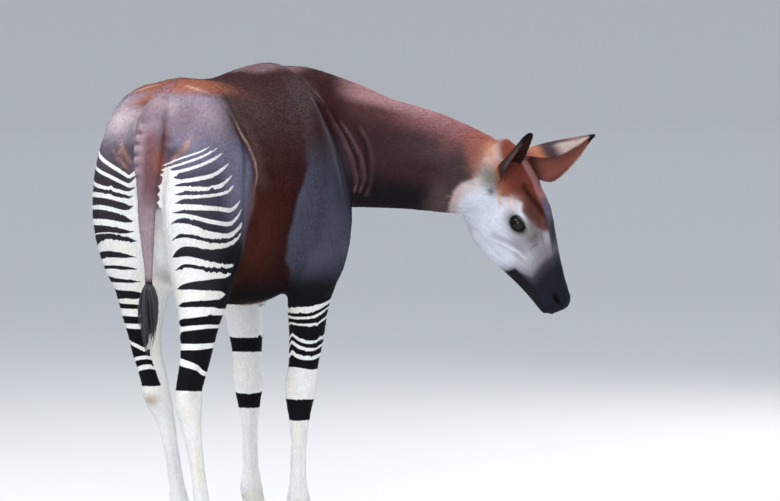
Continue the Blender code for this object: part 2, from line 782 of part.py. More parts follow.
def centre_on_floor(objects):
    """Moves all so that the middle of the whole box's underside is the origin."""
    corners = np.array([vertex.co for obj in objects for vertex in obj.data.vertices])
    low, high = corners.min(0), corners.max(0)
    shift = Vector(((low[0] + high[0]) / -2, (low[1] + high[1]) / -2, -low[2]))
    for obj in objects:
        obj.data.transform(Matrix.Translation(shift))


def main():
    for obj in list(bpy.data.objects):
        bpy.data.objects.remove(obj, do_unlink=True)

    body = make_body()
    head = make_head()
    neck_node = part_off(body, "neck", neck_box())
    combine(head, copied("throat", neck_node), "UNION")
    combine(neck_node, copied("nape", head), "UNION")
    combine(neck_node, head_box(), "DIFFERENCE")
    combine(head, swell(head_box(), -2 * GAP), "INTERSECT")

    open_mouth(head)
    nodes = [neck_node, head]
    for name, side in (("right", 1), ("left", -1)):
        open_nostril(head, side)
        open_eye(head, side)
        nodes.append(make_eye("eye_" + name, side))
    nodes.append(make_ear("ear_right", *EAR_RIGHT, EAR_RIGHT_ROWS, head))
    nodes.append(make_ear("ear_left", *EAR_LEFT, EAR_LEFT_ROWS, head))

    clear_tail(body)
    nodes.append(make_tail(body))
    nodes.append(make_tuft())

    places = feet()
    for foot, place in places.items():
        end, side = foot.split("_")
        box = fore_box if end == "fore" else hind_box
        limb = part_off(body, "leg_" + foot, box(1 if side == "right" else -1))
        point, normal = coronet_plane(place)
        cut_above(limb, point, -normal)
        nodes.append(limb)
        for inner, label in ((-1, "inner"), (1, "outer")):
            way = inner if side == "right" else -inner
            nodes.append(make_claw("hoof_" + foot + "_" + label, place, way))
    body.name = "torso"
    nodes.append(body)

    for obj in nodes:
        finish(obj)
    centre_on_floor(nodes)


main()
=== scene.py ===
"""The looks of a life-size okapi: skin, coat, eyes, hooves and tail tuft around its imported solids.

Metres, +Z up. The animal faces -Y and its right side is towards -X. Places on the body are given in
its own directions: forward, right and up. Places on the head are given along it from the poll to
the nose, up towards its forehead, and out to its right.
"""

import math
from contextlib import contextmanager

import bmesh
import bpy
import numpy as np
from bpy.props import FloatProperty, FloatVectorProperty, IntProperty, PointerProperty
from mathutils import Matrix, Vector
from mathutils.bvhtree import BVHTree


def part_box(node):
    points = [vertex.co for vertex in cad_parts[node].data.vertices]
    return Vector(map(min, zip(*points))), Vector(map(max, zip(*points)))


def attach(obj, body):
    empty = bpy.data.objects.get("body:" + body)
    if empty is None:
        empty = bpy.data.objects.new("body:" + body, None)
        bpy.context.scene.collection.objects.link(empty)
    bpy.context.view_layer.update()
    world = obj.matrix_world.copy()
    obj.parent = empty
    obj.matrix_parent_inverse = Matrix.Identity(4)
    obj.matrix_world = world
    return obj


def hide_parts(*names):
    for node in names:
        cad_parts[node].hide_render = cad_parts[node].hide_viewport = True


bl_info = {
    "name": "Okapi model",
    "version": (1, 0, 0),
    "blender": (4, 5, 0),
    "location": "3D View > Sidebar > Okapi",
    "description": "Dresses the okapi's solids in skin, coat, eyes, hooves and a tail tuft",
    "category": "Object",
}

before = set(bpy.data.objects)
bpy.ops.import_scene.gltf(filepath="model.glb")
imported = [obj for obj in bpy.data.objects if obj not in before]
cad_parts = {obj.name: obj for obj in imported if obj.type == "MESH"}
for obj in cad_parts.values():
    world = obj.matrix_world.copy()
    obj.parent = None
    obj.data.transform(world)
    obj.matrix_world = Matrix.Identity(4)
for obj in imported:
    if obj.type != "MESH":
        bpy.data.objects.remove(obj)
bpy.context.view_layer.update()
BODY = "root"

LIMBS = ("fore_right", "fore_left", "hind_right", "hind_left")
TRUNK_NODES = ("torso", "neck", "tail", *("leg_" + limb for limb in LIMBS))
HEAD_NODES = ("head", "ear_right", "ear_left")
HOOF_NODES = [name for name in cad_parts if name.startswith("hoof_")]


# --- places on the animal
def way(forward, right, up):
    """A direction, from the animal's own."""
    return Vector((-right, -forward, up))


POLL = way(0.69, 0.59, 1.245)
ALONG = way(0.141, 0.316, -0.938).normalized()
RISE = way(-0.04, 0.948, 0.3135)
RISE = (RISE - ALONG * RISE.dot(ALONG)).normalized()
OUT = ALONG.cross(RISE)
EYE = (0.25, -0.01, 0.061)
EYE_RADIUS = 0.025
EYE_GAP, EYE_BULGE = 0.0006, 0.0012  # under the solid's surface, and the clear bulge in front


def head_way(along, up, out):
    return ALONG * along + RISE * up + OUT * out


# The frame's origin is the middle of the whole model, so the animal is placed by its right eye
EYE_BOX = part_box("eye_right")
SHIFT = (EYE_BOX[0] + EYE_BOX[1]) / 2 - POLL - head_way(*EYE)


def at(forward, right, up):
    return way(forward, right, up) + SHIFT


def on_head(along, up, out):
    return POLL + head_way(along, up, out) + SHIFT


def body_places(points):
    """Forward, right and up of each point, as three columns."""
    moved = points - np.array(SHIFT)
    return -moved[:, 1], -moved[:, 0], moved[:, 2]


def head_places(points):
    moved = points - np.array(on_head(0, 0, 0))
    return moved @ np.array(ALONG), moved @ np.array(RISE), moved @ np.array(OUT)


def rise(values, low, high):
    """0 below low, 1 above high, and smooth between them. low may be the greater."""
    share = np.clip((values - low) / (high - low), 0, 1)
    return share * share * (3 - 2 * share)


def between(values, low, high, soft):
    return rise(values, low - soft, low + soft) * (1 - rise(values, high - soft, high + soft))


def curve(values, *pairs):
    """A value read off a line through pairs of numbers."""
    at_values, results = zip(*sorted(pairs))
    return np.interp(values, at_values, results)


def flow(values, stations, heights):
    """A value read off a smooth line through heights at their stations."""
    stations, heights = np.array(stations, float), np.array(heights, float)
    slopes = np.gradient(heights, stations)
    x = np.clip(values, stations[0], stations[-1])
    k = np.clip(np.searchsorted(stations, x) - 1, 0, len(stations) - 2)
    span = stations[k + 1] - stations[k]
    t = (x - stations[k]) / span
    rest = 1 - t
    ends = heights[k] * (1 + 2 * t) * rest**2 + heights[k + 1] * (3 - 2 * t) * t**2
    return ends + span * (slopes[k] * t * rest**2 - slopes[k + 1] * t**2 * rest)


def path_distance(points, path):
    """How far each point is from a path, and the share of the path that it is nearest to."""
    path = np.array([tuple(place) for place in path])
    best = np.full(len(points), np.inf)
    share = np.zeros(len(points))
    for k, (a, b) in enumerate(zip(path, path[1:])):
        span = b - a
        t = np.clip((points - a) @ span / (span @ span), 0, 1)
        far = np.linalg.norm(points - a - t[:, None] * span, axis=1)
        nearer = far < best
        best[nearer] = far[nearer]
        share[nearer] = (k + t[nearer]) / (len(path) - 1)
    return best, share


# --- mesh tools
MERGE_REACH = 0.00002  # a CAD node's loose triangles meet within this
HOOF_GRAIN = 0.0022


def new_object(name, mesh):
    obj = bpy.data.objects.new(name, mesh)
    bpy.context.scene.collection.objects.link(obj)
    return obj


def mesh_from(name, points, faces):
    mesh = bpy.data.meshes.new(name)
    mesh.from_pydata([tuple(p) for p in points], [], [tuple(f) for f in faces])
    mesh.update()
    return mesh


def read(items, what, size, kind=float):
    found = np.empty(len(items) * size, kind)
    items.foreach_get(what, found)
    return found.reshape(-1, size) if size > 1 else found


def points_of(mesh):
    return read(mesh.vertices, "co", 3)


def normals_of(mesh):
    return read(mesh.vertex_normals, "vector", 3)


def edges_of(mesh):
    return read(mesh.edges, "vertices", 2, int)


def set_points(mesh, points):
    mesh.vertices.foreach_set("co", points.ravel())
    mesh.update()


def bake(obj):
    """Turns an object's modifiers into its mesh."""
    graph = bpy.context.evaluated_depsgraph_get()
    mesh = bpy.data.meshes.new_from_object(obj.evaluated_get(graph))
    obj.modifiers.clear()
    obj.data = mesh
    return mesh


@contextmanager
def editing(mesh):
    """Opens a mesh as a bmesh and writes it back."""
    form = bmesh.new()
    form.from_mesh(mesh)
    yield form
    form.to_mesh(mesh)
    form.free()


def relax(mesh, steps, share=1.0, push=0.53):
    """Smooths a mesh, pulling its points in and pushing them out by turns."""
    points = points_of(mesh)
    a, b = edges_of(mesh).T
    count = np.bincount(np.r_[a, b], minlength=len(points))[:, None]
    share = share[:, None] if np.ndim(share) else share
    for step in range(2 * steps):
        total = np.zeros_like(points)
        for axis in range(3):
            total[:, axis] += np.bincount(a, points[b, axis], len(points))
            total[:, axis] += np.bincount(b, points[a, axis], len(points))
        points += share * (0.5 if step % 2 == 0 else -push) * (total / count - points)
    set_points(mesh, points)


def flesh(name, nodes, swell, extra=None):
    """One object of copies of some nodes, each a little thicker, so that neighbours touch."""
    mesh = bpy.data.meshes.new(name)
    with editing(mesh) as form:
        for node in nodes:
            form.from_mesh(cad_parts[node].data)
        bmesh.ops.remove_doubles(form, verts=form.verts, dist=MERGE_REACH)
        if extra:
            extra(form)
        form.normal_update()
        moved = [vertex.co + vertex.normal * swell for vertex in form.verts]
        for vertex, place in zip(form.verts, moved):
            vertex.co = place
    return new_object(name, mesh)


def fuse(obj, grain):
    modifier = obj.modifiers.new("fuse", "REMESH")
    modifier.mode = "VOXEL"
    modifier.voxel_size = grain
    return bake(obj)


def thin(obj, triangles):
    modifier = obj.modifiers.new("thin", "DECIMATE")
    count = sum(len(polygon.vertices) - 2 for polygon in obj.data.polygons)
    modifier.ratio = min(1.0, triangles / count)
    modifier.use_collapse_triangulate = True
    return bake(obj)


def ring_faces(rows, turns):
    """Quads between rings of points that follow one another."""
    faces = []
    for row in range(rows - 1):
        for k in range(turns):
            n = (k + 1) % turns
            low, high = row * turns, (row + 1) * turns
            faces.append((low + k, low + n, high + n, high + k))
    return faces


def tube(path, radii, sides, flat, across):
    """Points and faces of a closed tube. Its radius is full across it and flat the other way."""
    path = np.array([tuple(place) for place in path])
    along = np.gradient(path, axis=0)
    along /= np.linalg.norm(along, axis=1, keepdims=True)
    side = np.array(across, float)
    side = side - (along @ side)[:, None] * along
    side /= np.linalg.norm(side, axis=1, keepdims=True)
    other = np.cross(along, side)
    turn = np.arange(sides) * 2 * math.pi / sides
    turn = turn[None, :, None]
    ring = np.cos(turn) * side[:, None] + flat * np.sin(turn) * other[:, None]
    points = (path[:, None] + ring * np.array(radii)[:, None, None]).reshape(-1, 3)
    caps = [tuple(range(sides))[::-1], tuple((len(path) - 1) * sides + j for j in range(sides))]
    return points, ring_faces(len(path), sides) + caps


def put_attribute(mesh, name, values):
    """Writes a number, a vector or a colour for each vertex."""
    kinds = {1: ("FLOAT", "value"), 3: ("FLOAT_VECTOR", "vector"), 4: ("FLOAT_COLOR", "color")}
    values = np.asarray(values, np.float32)
    kind, field = kinds[1 if values.ndim == 1 else values.shape[1]]
    attribute = mesh.attributes.get(name) or mesh.attributes.new(name, kind, "POINT")
    attribute.data.foreach_set(field, values.ravel())


# --- the ears' own places
EAR_LENGTH = 0.252
# Root, way of the point and way of the opening of each ear (along, up, out)
EARS = {
    "right": ((0.098, -0.007, 0.052), (-0.098, 0.182, 0.128), (0.89, 0.45, 0.05)),
    "left": ((0.044, 0.026, -0.049), (0.028, 0.157, -0.124), (0.79, 0.25, 0.55)),
}


def ear_axes(side):
    """Root, the way the ear points, the way its cup opens and the way across it."""
    root, point, opening = EARS[side]
    axis = head_way(*point).normalized()
    cup = head_way(*opening)
    cup = (cup - axis * cup.dot(axis)).normalized()
    return on_head(*root), axis, cup, axis.cross(cup)


def ear_places(side, points):
    """Share of the ear's length, place across it and height towards its opening."""
    root, axis, cup, across = ear_axes(side)
    moved = points - np.array(root)
    return moved @ np.array(axis) / EAR_LENGTH, moved @ np.array(across), moved @ np.array(cup)


# --- skin: the folds of the body
def mm(*places):
    """Places given in millimetres, in metres."""
    return tuple(tuple(value / 1000 for value in place) for place in places)


# Each fold: its path (forward, right, up), how far it stands out (or in, if negative), half width
BODY_FOLDS = (
    (mm((255, 134, 1402), (262, 152, 1350), (290, 170, 1290), (315, 183, 1236), (326, 198, 1158),
        (338, 208, 1097)), 0.007, 0.014),
    (mm((294, 131, 1401), (315, 155, 1345), (356, 169, 1288), (395, 187, 1200),
        (410, 196, 1121)), -0.01, 0.01),
    (mm((329, 119, 1410), (345, 148, 1350), (396, 179, 1269), (424, 200, 1199), (443, 206, 1137),
        (451, 197, 1093)), 0.01, 0.008),
    (mm((373, 151, 1357), (415, 191, 1269), (436, 213, 1199), (452, 213, 1128)), -0.009, 0.0065),
    (mm((385, 160, 1344), (423, 200, 1260), (444, 224, 1199), (458, 225, 1137),
        (465, 207, 1092)), 0.008, 0.0065),
    (mm((437, 213, 1286), (450, 234, 1230), (460, 236, 1155)), -0.006, 0.007),
    (mm((444, 219, 1295), (455, 240, 1251), (463, 251, 1198), (470, 243, 1128),
        (481, 222, 1083)), 0.006, 0.008),
    (mm((13, 232, 1156), (-38, 233, 1074), (-60, 218, 979), (-40, 201, 917),
        (50, 160, 850)), -0.01, 0.015),
    (mm((-414, 52, 1436), (-426, 115, 1412), (-406, 165, 1372), (-362, 183, 1329),
        (-316, 199, 1265), (-287, 212, 1205), (-283, 215, 1166), (-300, 213, 1110)), 0.0045, 0.01),
    (mm((-354, 196, 1246), (-335, 207, 1150), (-330, 207, 1056), (-375, 207, 941),
        (-430, 192, 841)), -0.005, 0.02),
    (mm((-328, 208, 1128), (-281, 208, 1053), (-238, 197, 977), (-241, 179, 933)), 0.005, 0.02),
    (mm((-467, 57, 1384), (-473, 125, 1350), (-473, 174, 1292)), 0.004, 0.02),
)
MIRRORED_FOLDS = (7, 8, 9, 10, 11)
TAIL_HEAD = mm((-385, 0, 1440), (-450, -4, 1420), (-510, 0, 1385), (-560, 8, 1345))
TAIL_RIDGE = mm((-590, -6, 1330), (-607, -12, 1290), (-618, -14, 1250), (-623, -14, 1210),
    (-625, -12, 1170))
# The middle of the tail, and half of its depth and width
TAIL_LINE = (
    (0.845, -0.598, 0.021, 0.011, 0.012),
    (0.92, -0.6, 0.021, 0.013, 0.016),
    (1.02, -0.606, 0.019, 0.019, 0.025),
    (1.14, -0.606, 0.02, 0.022, 0.034),
    (1.245, -0.597, 0.02, 0.028, 0.046),
    (1.325, -0.55, 0.006, 0.04, 0.046),
)


def on_tail(points):
    """1 on the tail and 0 off it, with a soft edge, and fading out towards its root."""
    f, r, z = body_places(points)
    levels, middle_f, middle_r, depth, width = np.array(TAIL_LINE).T
    x = (f - np.interp(z, levels, middle_f)) / np.interp(z, levels, depth)
    y = (r - np.interp(z, levels, middle_r)) / np.interp(z, levels, width)
    return rise(np.hypot(x, y), 1.7, 0.95) * rise(z, 1.345, 1.3)


def fold_heights(points):
    """How far each point of the trunk moves out for the folds of its skin."""
    height = np.zeros(len(points))
    for k, (path, reach, half) in enumerate(BODY_FOLDS):
        for side in (1, -1) if k in MIRRORED_FOLDS else (1,):
            far, share = path_distance(points, [at(f, side * r, z) for f, r, z in path])
            ends = rise(share, -0.001, 0.18) * rise(share, 1.001, 0.8)
            height += reach * ends * np.exp(-((far / half) ** 2))
    far, share = path_distance(points, [at(*place) for place in TAIL_HEAD])
    height += 0.011 * rise(share, 0.0, 0.6) * np.exp(-((far / 0.026) ** 2))
    for side in (1, -1):
        height += 0.004 * blot(points, at(-0.45, side * 0.16, 1.36), (0.09, 0.06, 0.08))
    far, share = path_distance(points, [at(*place) for place in TAIL_RIDGE])
    beads = np.abs(np.sin(share * math.pi * 5.0 + 0.3)) - 0.35
    height += 0.006 * beads * np.exp(-((far / 0.014) ** 2))
    height += 0.004 * blot(points, at(0.075, 0.0, 0.775), (0.035, 0.022, 0.02))
    return height


def leg_heights(points):
    """Tendons, the grooves beside them and the bones under the thin skin of the lower legs."""
    height = np.zeros(len(points))
    f, r, z = body_places(points)
    for limb in LIMBS:
        centre_f, centre_r = limb_axis(limb, z)
        near = np.hypot(f - centre_f, r - centre_r) < 0.09
        back = np.degrees(np.arctan2(np.abs(r - centre_r), centre_f - f))
        cannon = between(z, 0.17, 0.42, 0.03) * near
        height -= 0.0035 * cannon * np.exp(-(((back - 62) / 20) ** 2))
        height += 0.0015 * cannon * np.exp(-((back / 25) ** 2))
        if limb.startswith("hind"):
            cord = between(z, 0.56, 0.72, 0.04) * near
            height -= 0.006 * cord * np.exp(-(((back - 60) / 22) ** 2))
        else:
            knee = between(z, 0.46, 0.54, 0.02) * near
            height += 0.002 * knee * np.exp(-(((back - 180) / 50) ** 2))
    return height


def limb_axis(limb, z):
    """Forward and right of the middle of a leg at each level, read from the frame's leg."""
    levels, forward, right = LIMB_AXES[limb]
    return np.interp(z, levels, forward), np.interp(z, levels, right)


def find_limb_axes():
    found = {}
    for limb in LIMBS:
        points = points_of(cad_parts["leg_" + limb].data)
        f, r, z = body_places(points)
        rows = []
        for level in np.arange(0.08, 0.8, 0.04):
            near = np.abs(z - level) < 0.035
            middle_f = (f[near].min() + f[near].max()) / 2
            middle_r = (r[near].min() + r[near].max()) / 2
            rows.append((level, middle_f, middle_r))
        side = 1 if limb.endswith("right") else -1
        if limb.startswith("hind"):
            rows += [
                (0.86, -0.455 + (side < 0) * 0.075, side * 0.115), (1.07, -0.445, side * 0.115)
            ]
        else:
            rows += [(0.9, 0.235 + (side < 0) * 0.08, side * 0.13), (1.1, 0.28, side * 0.12)]
        found[limb] = tuple(np.array(rows).T)
    return found


LIMB_AXES = find_limb_axes()


# --- skin: the head's folds
# Each fold: its path (along, up, out on the right), how far it stands out, half width
HEAD_FOLDS = (
    (mm((258, -128, 70), (302, -80, 69), (338, -48, 62), (366, -34, 54)), 0.0042, 0.006),
    (mm((270, -82, 73), (312, -55, 67), (350, -32, 56)), -0.0025, 0.007),
    (mm((200, -165, 60), (290, -135, 62), (370, -98, 48)), -0.002, 0.012),
    (mm((335, 18, 56), (360, 2, 56), (372, -10, 54)), -0.0022, 0.005),
    (mm((315, 40, 46), (380, 30, 42), (450, 28, 34)), -0.0022, 0.008),
    (mm((330, 50, 34), (400, 40, 30), (470, 34, 26)), 0.002, 0.007),
    (mm((178, 38, 66), (215, 34, 72), (262, 30, 66)), 0.0045, 0.01),
    (mm((415, -40, 46), (400, -55, 47), (396, -72, 45)), -0.002, 0.005),
    (mm((478, -2, 43), (500, -12, 44), (530, -4, 40)), 0.0018, 0.005),
    (mm((484, 12, 40), (505, 24, 36), (535, 28, 30)), 0.0022, 0.005),
)
MOUTH_LINE = mm((420, -60, 47), (450, -54, 45), (480, -50, 44), (512, -47, 42), (540, -45, 33),
    (556, -43, 14), (560, -43, 0))


def head_heights(points):
    height = np.zeros(len(points))
    for side in (1, -1):
        for path, reach, half in HEAD_FOLDS:
            far, share = path_distance(points, [on_head(a, u, side * o) for a, u, o in path])
            ends = rise(share, -0.001, 0.25) * rise(share, 1.001, 0.75)
            height += reach * ends * np.exp(-((far / half) ** 2))
        far, share = path_distance(points, [on_head(a, u, side * o) for a, u, o in MOUTH_LINE])
        height -= 0.0025 * np.exp(-((far / 0.0035) ** 2))
        height += 0.0012 * np.exp(-(((far - 0.009) / 0.004) ** 2))
    return height


def ear_heights(points, normals):
    """Thins the shells of the ears and raises the veins and ribs inside their cups."""
    height = np.zeros(len(points))
    for side in EARS:
        share, across = ear_places(side, points)[:2]
        inside = ear_inside(side, points, normals)
        on_ear = rise(share, 0.12, 0.3)
        height -= 0.0002 * on_ear
        ribs = 0.5 + 0.5 * np.cos(across / 0.0085 * math.pi)
        height += 0.0011 * ribs * inside * between(share, 0.22, 0.72, 0.08)
    return height


# --- skin: its pieces and its whole
NECK_CUT = ((-0.05, -0.06, 0.0), (0.74, 0.67, 0.0))  # place and way of the seam on the neck
TRUNK_SWELL, HEAD_SWELL = 0.0008, 0.001  # the nodes grow by this, so that they touch and fuse


def neck_cut():
    return on_head(*NECK_CUT[0]), head_way(*NECK_CUT[1]).normalized()


def cut(form, faces, point, normal, ahead, fill=False):
    """Cuts some faces at a plane and keeps what is ahead of it, or else what is behind."""
    # each vertex and edge once and in the faces' order, which is the same in every run
    geom = list(dict.fromkeys(vertex for face in faces for vertex in face.verts))
    geom += list(dict.fromkeys(edge for face in faces for edge in face.edges))
    found = bmesh.ops.bisect_plane(
        form,
        geom=geom + faces,
        plane_co=point,
        plane_no=normal,
        clear_outer=not ahead,
        clear_inner=ahead,
        dist=1e-6,
    )
    if fill:
        rim = [piece for piece in found["geom_cut"] if isinstance(piece, bmesh.types.BMEdge)]
        bmesh.ops.edgeloop_fill(form, edges=rim)


def trunk_skin(settings):
    obj = flesh("trunk_skin", TRUNK_NODES, TRUNK_SWELL)
    mesh = fuse(obj, settings.body_grain)
    f, r, z = body_places(points_of(mesh))
    tail = np.hypot(f + 0.6, r - 0.02) < 0.035
    relax(mesh, 26, np.where(tail, 0.5, np.interp(z, (0.05, 0.5, 0.75), (0.35, 0.5, 1.0))))
    points = points_of(mesh)
    height = fold_heights(points) + leg_heights(points) - settings.coat_depth - TRUNK_SWELL
    set_points(mesh, points + normals_of(mesh) * height[:, None])
    relax(mesh, 2)
    thin(obj, settings.body_triangles)
    return obj


def head_skin(settings):
    point, normal = neck_cut()

    def shorten_neck(form):
        cut(form, list(form.faces), point - normal * 0.03, normal, True, fill=True)

    obj = flesh("head_skin", HEAD_NODES + ("neck",), HEAD_SWELL, shorten_neck)
    mesh = fuse(obj, settings.head_grain)
    points = points_of(mesh)
    ears = np.zeros(len(points))
    for side in EARS:
        share, across, up = ear_places(side, points)
        near = (np.abs(across) < 0.09) * (np.abs(up) < 0.12)
        ears = np.maximum(ears, rise(share, 0.15, 0.35) * near)
    relax(mesh, 14, 1.0 - 0.5 * ears)
    points = points_of(mesh)
    normals = normals_of(mesh)
    along = head_places(points)[0]
    depth = settings.coat_depth * np.interp(along, (0.0, 0.25, 0.45), (1.0, 0.5, 0.25))
    height = head_heights(points) * (1 - ears) + ear_heights(points, normals)
    height = height - depth * (1 - 0.85 * ears) - HEAD_SWELL * (1 - 0.7 * ears)
    set_points(mesh, points + normals * height[:, None])
    relax(mesh, 1)
    thin(obj, settings.head_triangles)
    return obj


def rim_of(verts, point, normal):
    """The open rim among some vertices, in order round a plane's normal."""
    side = normal.orthogonal().normalized()
    other = normal.cross(side)
    rim = []
    for vertex in verts:
        if any(edge.is_boundary for edge in vertex.link_edges):
            moved = vertex.co - point
            rim.append((math.atan2(moved.dot(other), moved.dot(side)), vertex))
    return sorted(rim, key=lambda row: row[0])


def stitch(form, low, high):
    """Joins two rims of unlike counts by triangles."""
    i = j = 0
    while i < len(low) or j < len(high):
        next_low = low[(i + 1) % len(low)][0] + (2 * math.pi if i + 1 >= len(low) else 0)
        next_high = high[(j + 1) % len(high)][0] + (2 * math.pi if j + 1 >= len(high) else 0)
        a, b = low[i % len(low)][1], high[j % len(high)][1]
        if i < len(low) and (j >= len(high) or next_low <= next_high):
            face = (a, low[(i + 1) % len(low)][1], b)
            i += 1
        else:
            face = (a, high[(j + 1) % len(high)][1], b)
            j += 1
        form.faces.new(face)


def join_skin(trunk, head):
    """One closed skin from the trunk's and the head's, stitched round the neck."""
    point, normal = neck_cut()
    seam = point - normal * 0.004
    mesh = bpy.data.meshes.new("skin")
    with editing(mesh) as form:
        form.from_mesh(trunk.data)
        near = [face for face in form.faces if (face.calc_center_median() - seam).length < 0.4]
        cut(form, near, seam, normal, False)
        low = rim_of(form.verts, point, normal)
        trunk_faces, trunk_verts = set(form.faces), set(form.verts)
        form.from_mesh(head.data)
        cut(form, [face for face in form.faces if face not in trunk_faces], point, normal, True)
        high = rim_of([vertex for vertex in form.verts if vertex not in trunk_verts], point, normal)
        stitch(form, low, high)
        bmesh.ops.recalc_face_normals(form, faces=form.faces)
        if form.calc_volume(signed=True) < 0:
            bmesh.ops.reverse_faces(form, faces=form.faces)
    for obj in (trunk, head):
        bpy.data.objects.remove(obj)
    return new_object("skin", mesh)


# --- eyelids
# The slit between the lids: half its length and height, and how far it rises towards the nose
SLIT_LENGTH, SLIT_HEIGHT, SLIT_RISE = 0.025, 0.0203, 0.36
LID_ROWS = (  # share of the way from the slit's edge outwards, height over the eyeball
    (-0.06, -0.0012),
    (0.0, 0.0006),
    (0.04, 0.0022),
    (0.14, 0.0034),
    (0.26, 0.0036),
    (0.38, 0.0026),
    (0.5, 0.0034),
    (0.66, 0.0036),
    (0.84, 0.0022),
    (1.0, -0.001),
)


def eye_axes(side):
    """The eye's place, the way it looks and the slit's ways along and across."""
    centre = on_head(EYE[0], EYE[1], side * EYE[2])
    look = head_way(0.1, 0.22, side * 1.0).normalized()
    along = head_way(1, SLIT_RISE, 0)
    along = (along - look * along.dot(look)).normalized()
    return centre, look, along, look.cross(along) * side


def lid_form(side):
    """Points and faces of both lids: a rolled edge on the ball that fades into the face."""
    centre, look, along, up = eye_axes(side)
    turns = 56
    points = []
    for share, height in LID_ROWS:
        for k in range(turns):
            turn = 2 * math.pi * k / turns
            c, s = math.cos(turn), math.sin(turn)
            spread_x = SLIT_LENGTH * (1 + (0.22 if c > 0 else 0.1) * abs(c) ** 6) + 0.013 * share
            spread_y = SLIT_HEIGHT * (1 if s < 0 else 0.52) + (0.012 if s < 0 else 0.017) * share
            x, y = spread_x * c, spread_y * s
            radius = EYE_RADIUS + height + (0.0016 * s * math.sin(math.pi * share) if s > 0 else 0)
            reach = min(math.hypot(x, y) / radius, 1.42)
            bend = reach * 1.02
            flat = Vector(along * x + up * y).normalized()
            points.append(centre + (look * math.cos(bend) + flat * math.sin(bend)) * radius)
    return points, [quad[::side] for quad in ring_faces(len(LID_ROWS), turns)]


# --- markings
# Each white stripe of a leg, in millimetres: its level at the inner back, back, outer back, side
# and front, its height at the back, outer back and side; and how far round it reaches, in degrees
STATIONS = (-25, 3, 40, 85, 130)
HIND_RIGHT_STRIPES = (
    (1222, 1248, 1278, 1320, 1350, 0, 0, 0, 22),
    (1203, 1228, 1258, 1300, 1330, 5, 6, 4, 48),
    (1190, 1211, 1242, 1270, 1300, 7, 8, 6, 62),
    (1178, 1191, 1219, 1248, 1270, 9, 9, 7, 80),
    (1145, 1160, 1176, 1205, 1230, 12, 11, 9, 96),
    (1122, 1139, 1139, 1163, 1200, 19, 15, 10, 106),
    (1098, 1115, 1121, 1134, 1175, 11, 11, 9, 108),
    (1068, 1086, 1083, 1075, 1103, 19, 13, 12, 128),
    (1040, 1063, 1044, 1037, 1074, 12, 12, 12, 138),
    (990, 1024, 1005, 1001, 1028, 34, 22, 18, 156),
    (950, 985, 975, 978, 1002, 27, 20, 16, 156),
    (905, 932, 918, 908, 912, 23, 20, 15, 165),
    (870, 888, 889, 887, 885, 46, 28, 18, 175),
    (820, 829, 829, 827, 830, 36, 28, 24, 200),
    (775, 780, 783, 778, 775, 32, 26, 19, 200),
    (728, 735, 739, 737, 735, 14, 12, 10, 200),
    (680, 682, 682, 682, 682, 18, 17, 15, 200),
    (640, 634, 621, 606, 600, 20, 15, 12, 200),
    (458, 458, 457, 454, 452, 200, 200, 200, 400),
)
HIND_LEFT_STRIPES = (
    (1198, 1239, 1272, 1298, 1328, 0, 0, 0, 26),
    (1172, 1213, 1248, 1275, 1305, 13, 11, 8, 78),
    (1145, 1178, 1205, 1228, 1255, 11, 10, 9, 92),
    (1122, 1138, 1154, 1168, 1205, 11, 11, 9, 104),
    (1100, 1116, 1118, 1128, 1168, 16, 14, 11, 112),
    (1062, 1080, 1079, 1082, 1122, 13, 12, 11, 124),
    (1024, 1037, 1036, 1040, 1072, 20, 17, 14, 136),
    (1000, 1007, 999, 1001, 1035, 3.5, 3.5, 3, 60),
    (958, 971, 954, 960, 990, 38, 18, 16, 156),
    (918, 922, 913, 915, 928, 24, 21, 17, 160),
    (880, 885, 888, 888, 890, 30, 22, 18, 175),
    (845, 846, 846, 845, 845, 24, 22, 20, 200),
    (800, 801, 801, 800, 800, 16, 15, 14, 200),
    (767, 767, 767, 767, 767, 23, 22, 20, 200),
    (726, 726, 726, 726, 726, 15, 14, 13, 200),
    (655, 668, 680, 680, 680, 12, 12, 10, 200),
    (633, 630, 622, 618, 615, 11, 10, 10, 200),
    (606, 602, 592, 586, 584, 14, 13, 12, 200),
    (447, 447, 446, 443, 440, 200, 200, 200, 400),
)
FORE_RIGHT_STRIPES = (
    (772, 774, 776, 787, 798, 0, 0, 0, 200),
    (742, 744, 746, 757, 768, 20, 21, 14, 190),
    (720, 719, 722, 737, 750, 8, 8, 8, 190),
    (704, 700, 700, 711, 722, 7, 8, 8, 190),
    (668, 652, 644, 651, 662, 10, 10, 9, 190),
    (645, 630, 622, 629, 641, 12, 12, 10, 190),
    (614, 602, 597, 600, 606, 15, 14, 13, 200),
    (520, 520, 518, 515, 515, 96, 92, 92, 400),
    (340, 340, 340, 340, 340, 130, 130, 130, 400),
)
FORE_LEFT_STRIPES = (
    (850, 850, 850, 860, 870, 0, 0, 0, 200),
    (742, 744, 748, 760, 768, 40, 36, 30, 190),
    (700, 700, 703, 716, 722, 28, 24, 20, 190),
    (662, 662, 662, 668, 672, 44, 40, 34, 190),
    (528, 528, 528, 528, 528, 130, 128, 124, 400),
    (340, 340, 340, 340, 340, 150, 150, 150, 400),
)


def level_stripe(level, height):
    """A stripe all round a leg."""
    return (*(level,) * 5, *(height,) * 3, 400)


FOOT_STRIPES = (level_stripe(58, 50), level_stripe(-50, 80))
HIND_SHANK = (level_stripe(300, 300), level_stripe(150, 90), *FOOT_STRIPES)
FORE_SHANK = (level_stripe(220, 300), level_stripe(140, 75), *FOOT_STRIPES)
STRIPES = {
    "hind_right": HIND_RIGHT_STRIPES + HIND_SHANK,
    "hind_left": HIND_LEFT_STRIPES + HIND_SHANK,
    "fore_right": FORE_RIGHT_STRIPES + FORE_SHANK,
    "fore_left": FORE_LEFT_STRIPES + FORE_SHANK,
}


